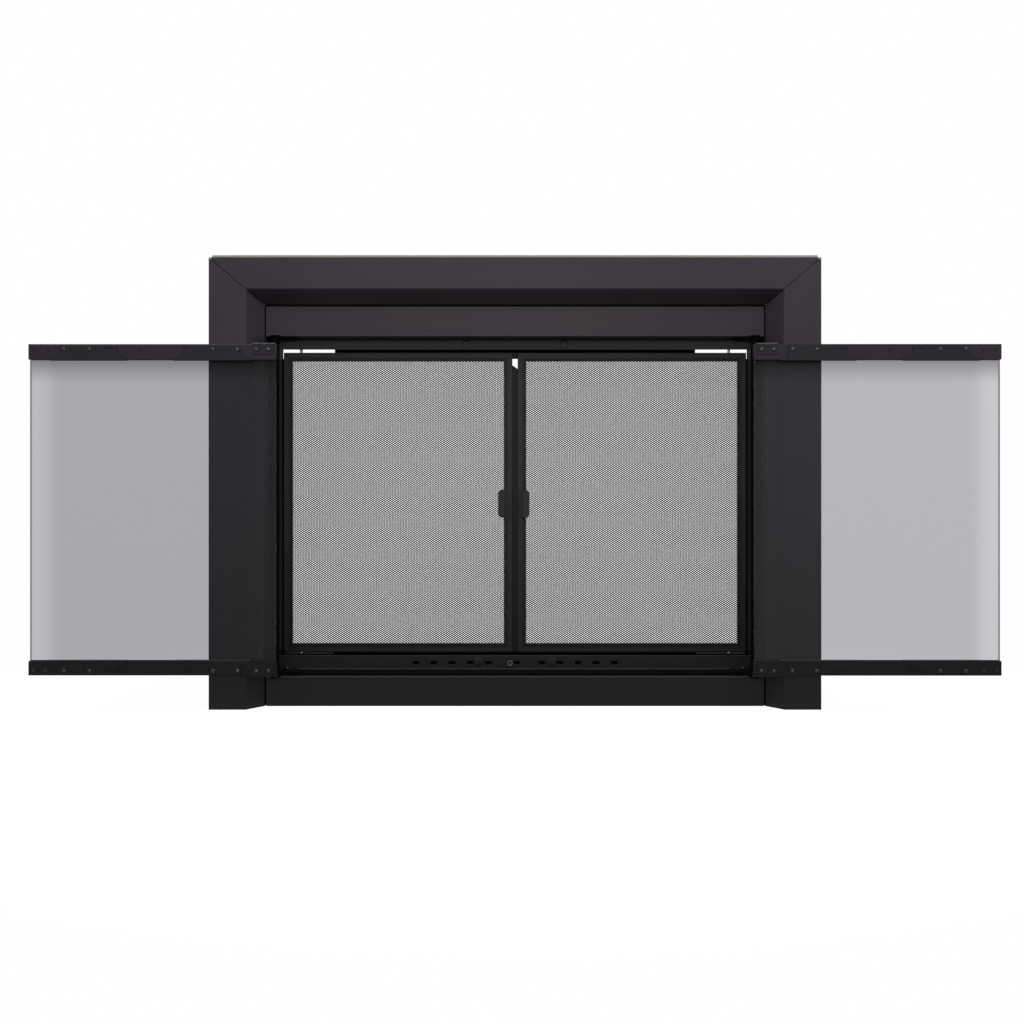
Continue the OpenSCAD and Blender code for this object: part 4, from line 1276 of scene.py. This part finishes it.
@dataclass
class GlassDoor(Door):
    """One glass door: pane, channel rails, clips, pads, hinge plates, pull and screws."""

    rail_folds: Folds = field(default_factory=lambda: Folds(bend=2.4, edge=0.25, wall=1.2, segments=4))
    clip_folds: Folds = field(default_factory=lambda: Folds(bend=0.8, edge=0.3, wall=1.5))
    plate_folds: Folds = field(default_factory=lambda: Folds(bend=0.8, edge=0.6, wall=1.5))
    pane_folds: Folds = field(default_factory=lambda: Folds(bend=0.5, edge=0.5, wall=0.1, segments=2))
    grip_folds: Folds = field(default_factory=lambda: Folds(bend=1.2, edge=1.2, wall=0.1))
    top_edge_mm: tuple[float, float] = (-3.0, 1.0)
    low_edge_mm: tuple[float, float] = (-1.0, 4.0)

    def build(self) -> None:
        """Builds and dresses the door."""
        body = self.node("glass_door")
        top_edge, low_edge = self.edges()
        rail, = folded((self.node("top_rail"),), body, DOOR_ENAMEL, self.rail_folds)
        # A painted highlight on the top rail's upper bend.
        paint_upward_faces(rail, HIGHLIGHT_ENAMEL, top_edge)
        # The bottom rail's darker enamel is painted shade.
        folded((self.node("bottom_rail"),), body, LOW_RAIL_ENAMEL, self.rail_folds)
        clips, = folded((self.node("glass_clips"),), body, CLIP_ENAMEL, self.clip_folds)
        # A painted highlight on the clips' upper bends at the bottom rail.
        paint_upward_faces(clips, HIGHLIGHT_ENAMEL, low_edge, Tilt.BEND_AND_TOP)
        plates, = folded((self.node("hinge_plates"),), body, CLIP_ENAMEL, self.plate_folds)
        # Bare steel on the hinge plates' top edges, as a painted highlight.
        paint_upward_faces(plates, BARE_STEEL_AND_HIGHLIGHT, top_edge)
        folded((self.node("glass"),), body, PANES[self.side], self.pane_folds)
        folded((self.node("door_pull"),), body, LOWER_ENAMEL, self.grip_folds)
        dress((self.node("glass_pads"),), GASKET)
        seed = RAIL_SCREW_SEEDS[self.side]
        screws(self.node("rail_screws"), body, PAN_HEAD, BLACK_SCREW, seed, BARE_STEEL_AND_HIGHLIGHT)

    def edges(self) -> list[tuple[float, float]]:
        """Finds the heights between which the upper edges of the two rails lie.

        Returns:
            A pair in millimetres for the top rail, and one for the bottom rail.
        """
        spans = (("top_rail", self.top_edge_mm), ("bottom_rail", self.low_edge_mm))
        tops = [(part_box(self.node(name))[1].z / MM, span) for name, span in spans]
        return [(top + span[0], top + span[1]) for top, span in tops]


@dataclass
class MeshDoor(Door):
    """One mesh door: folded bars, fine expanded mesh spot-welded to them, pull tab and pivot pins."""

    cell_width_mm: float = 5.54
    cell_height_mm: float = 3.6
    strand_width_mm: float = 1.54
    strand_depth_mm: float = 0.5
    strip_reach_mm: float = 0.7
    strip_set_mm: float = 0.35
    strip_edge_mm: float = 1.0
    bar_folds: Folds = field(default_factory=lambda: Folds(bend=1.0, edge=0.25, wall=1.2))

    def screens(self, low: Vector, high: Vector) -> list[Object]:
        """Grows one lattice of expanded mesh that fills a box, as a lower and an upper piece.

        Args:
            low: The box's lowest corner.
            high: Its highest corner.

        Returns:
            The two pieces, not yet riding on a body.
        """
        strand = self.strand_width_mm * MM
        columns = round((high.x - low.x) / MM / self.cell_width_mm)
        cell_w = (high.x - low.x - strand) / columns
        rows = round((high.z - low.z) / MM / self.cell_height_mm)
        cell_h = (high.z - low.z - 2 * strand) / rows
        below = 2 * (rows // 2)
        made = []
        for part, first, count in (("lower", 0, below), ("upper", below, 2 * rows - below)):
            name = self.node(f"screen_{part}")
            start = Vector((low.x + strand / 2, (low.y + high.y) / 2, low.z + strand + first * cell_h / 2))
            host = as_object(name + "_host", bpy.data.meshes.new(name + "_host"))
            made.append(grown(host, screen_tree(), {
                "Start": start, "Cell width": cell_w, "Cell height": cell_h, "Points across": 2 * columns,
                "Strands": count, "Strand width": strand, "Strand depth": self.strand_depth_mm * MM,
                "Finish": MESH_ENAMEL.material()}, name))
        return made

    def build(self) -> None:
        """Builds and dresses the door."""
        body = self.node("mesh_door")
        folded((self.node("mesh_frame"), self.node("mesh_tab")), body, MESH_ENAMEL, self.bar_folds)
        for part in self.screens(*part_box(self.node("mesh_screen"))):
            settle(part, body, MESH_ENAMEL, (self.node("mesh_screen"),))
        dress((self.node("mesh_pins"),), ZINC)
        if self.side is Side.LEFT:
            strip = self.bar_folds.soften("meeting_strip", "meeting_strip_folded")
            # Its free edge is joggled behind the other door, so that no line of light shows there.
            free_edge = max(v.co.x for v in strip.data.vertices)
            for v in strip.data.vertices:
                if v.co.x > free_edge - self.strip_edge_mm * MM:
                    v.co.x += self.strip_reach_mm * MM
                    v.co.y += self.strip_set_mm * MM
            settle(strip, body, MESH_ENAMEL, ("meeting_strip",))


# ---- studio ----


@dataclass(frozen=True)
class Lamp:
    """A soft rectangular lamp: its middle, the point that it faces, its two sides in metres and its watts."""

    name: str
    place: Point
    target: Point
    size: tuple[float, float]
    watts: float

    def hang(self) -> None:
        """Puts the lamp in the scene."""
        data = bpy.data.lights.new(self.name, "AREA")
        data.shape = "RECTANGLE"
        data.size, data.size_y = self.size
        data.energy = self.watts
        lamp = as_object(self.name, data)
        lamp.location = self.place
        lamp.rotation_euler = (Vector(self.target) - Vector(self.place)).to_track_quat("-Z", "Y").to_euler()
        # Its light already passes the panes straight, so it isn't found again by light that they bend.
        lamp.visible_transmission = False


LAMPS = (
    Lamp("overhead_left", (-1.1, -0.95, 1.45), (-0.4, -0.05, 0.6), (0.7, 0.5), 6.0),
    Lamp("overhead_right", (1.15, -0.95, 1.45), (0.4, -0.05, 0.6), (0.7, 0.5), 8.2),
    Lamp("front", (0.0, -2.7, 1.0), (0.0, 0.0, 0.45), (1.2, 0.3), 16.0),
    Lamp("back", (0.0, 2.5, 1.3), (0.0, 0.0, 0.4), (1.6, 0.5), 9.0),
    Lamp("left_fill", (-2.7, -1.3, 1.2), (0.0, 0.0, 0.4), (0.8, 1.2), 7.0),
    Lamp("right_fill", (2.7, -1.3, 1.2), (0.0, 0.0, 0.4), (0.8, 1.2), 10.0),
)


@dataclass
class Studio:
    """The pale floor, the white surroundings, the lamps and the camera at the photograph's place."""

    camera_place: Point = (0.0, -1.998, 0.377)
    lens_mm: float = 40.01
    sensor_mm: float = 36.0
    image_px: int = 1024
    shift_px: tuple[int, int] = (-3, -28)
    floor_half: float = 14.0
    floor_seen: str = "#a0a0a0"
    floor_bounce: str = "#6c6c6c"
    shadow_reach: tuple[float, float] = (0.5, 1.1)
    sky: float = 0.14
    near_glow: float = 0.9

    def ground(self) -> None:
        """Lays the floor: pale to the eye, a mid grey to the light that it throws back."""
        bm = bmesh.new()
        bmesh.ops.create_grid(bm, x_segments=4, y_segments=4, size=self.floor_half)
        floor = as_object("floor", as_mesh("floor", bm))
        pale = bpy.data.materials.new("pale_floor")
        pale.use_nodes = True
        tree = pale.node_tree
        tree.nodes.clear()
        seen = self.seen_rays(tree)
        paint = add(tree, "ShaderNodeBsdfDiffuse", inputs={"Color": linear(self.floor_seen)})
        plain = add(tree, "ShaderNodeBsdfDiffuse", inputs={"Color": linear(self.floor_bounce)})
        # Past the object's shadow the floor is as white as the backdrop, so the glass shows no horizon.
        place = add(tree, "ShaderNodeTexCoord").outputs["Object"]
        away = add(tree, "ShaderNodeVectorMath", {"operation": "LENGTH"}, {0: place}).outputs["Value"]
        share = ramp(tree, away, self.shadow_reach)
        glow = ramp(tree, share, target=(self.near_glow, 1.0))
        lift = add(tree, "ShaderNodeEmission", inputs={"Color": WHITE, "Strength": glow}).outputs[0]
        near = add(tree, "ShaderNodeAddShader", inputs={0: paint.outputs[0], 1: lift})
        bright = add(tree, "ShaderNodeMixShader", inputs={0: share, 1: near.outputs[0], 2: lift})
        both = add(tree, "ShaderNodeMixShader", inputs={0: seen, 1: plain.outputs[0], 2: bright.outputs[0]})
        add(tree, "ShaderNodeOutputMaterial", inputs={"Surface": both.outputs[0]})
        floor.data.materials.append(pale)

    def seen_rays(self, tree: NodeTree) -> NodeSocket:
        """Tells the rays that the eye follows from those that only bring light.

        Light that a dull surface has scattered only brings light, even where it goes on through a pane.

        Args:
            tree: The tree.

        Returns:
            A socket with 1 for rays from the camera, off gloss or through glass, and 0 for the rest.
        """
        path = add(tree, "ShaderNodeLightPath")
        first = maths(tree, "MAXIMUM", path.outputs["Is Camera Ray"], path.outputs["Is Glossy Ray"])
        every = maths(tree, "MAXIMUM", first, path.outputs["Is Transmission Ray"])
        return maths(tree, "MULTIPLY", every, maths(tree, "LESS_THAN", path.outputs["Diffuse Depth"], 0.5))

    def surroundings(self) -> None:
        """Makes the world: white behind the object, and a soft grey as light."""
        world = bpy.data.worlds.new("studio")
        world.use_nodes = True
        tree = world.node_tree
        tree.nodes.clear()
        white = add(tree, "ShaderNodeBackground", inputs={"Color": WHITE, "Strength": 1.0})
        soft = add(tree, "ShaderNodeBackground", inputs={"Color": WHITE, "Strength": self.sky})
        both = add(tree, "ShaderNodeMixShader", inputs={
            0: self.seen_rays(tree), 1: soft.outputs[0], 2: white.outputs[0]})
        add(tree, "ShaderNodeOutputWorld", inputs={"Surface": both.outputs[0]})
        bpy.context.scene.world = world

    def camera(self) -> None:
        """Sets the camera up, level and square to the front."""
        data = bpy.data.cameras.new("camera")
        data.lens = self.lens_mm
        data.sensor_width = self.sensor_mm
        data.shift_x, data.shift_y = (px / self.image_px for px in self.shift_px)
        camera = as_object("camera", data)
        camera.location = self.camera_place
        camera.rotation_euler = (math.pi / 2, 0.0, 0.0)
        bpy.context.scene.camera = camera

    def build(self) -> None:
        """Builds the whole studio."""
        bpy.context.scene.view_settings.view_transform = "Standard"
        self.camera()
        self.ground()
        self.surroundings()
        for lamp in LAMPS:
            lamp.hang()


def main() -> None:
    """Builds the studio and every sub-assembly."""
    logging.basicConfig(level=logging.INFO, format="%(message)s")
    Studio().build()
    parts = (Surround(), Fascia(), Seams(), Fixings(), Damper(), GlassDoor(Side.LEFT), GlassDoor(Side.RIGHT),
             MeshDoor(Side.LEFT), MeshDoor(Side.RIGHT))
    for part in parts:
        log.info("building %s", type(part).__name__)
        part.build()


if __name__ == "__main__":
    main()
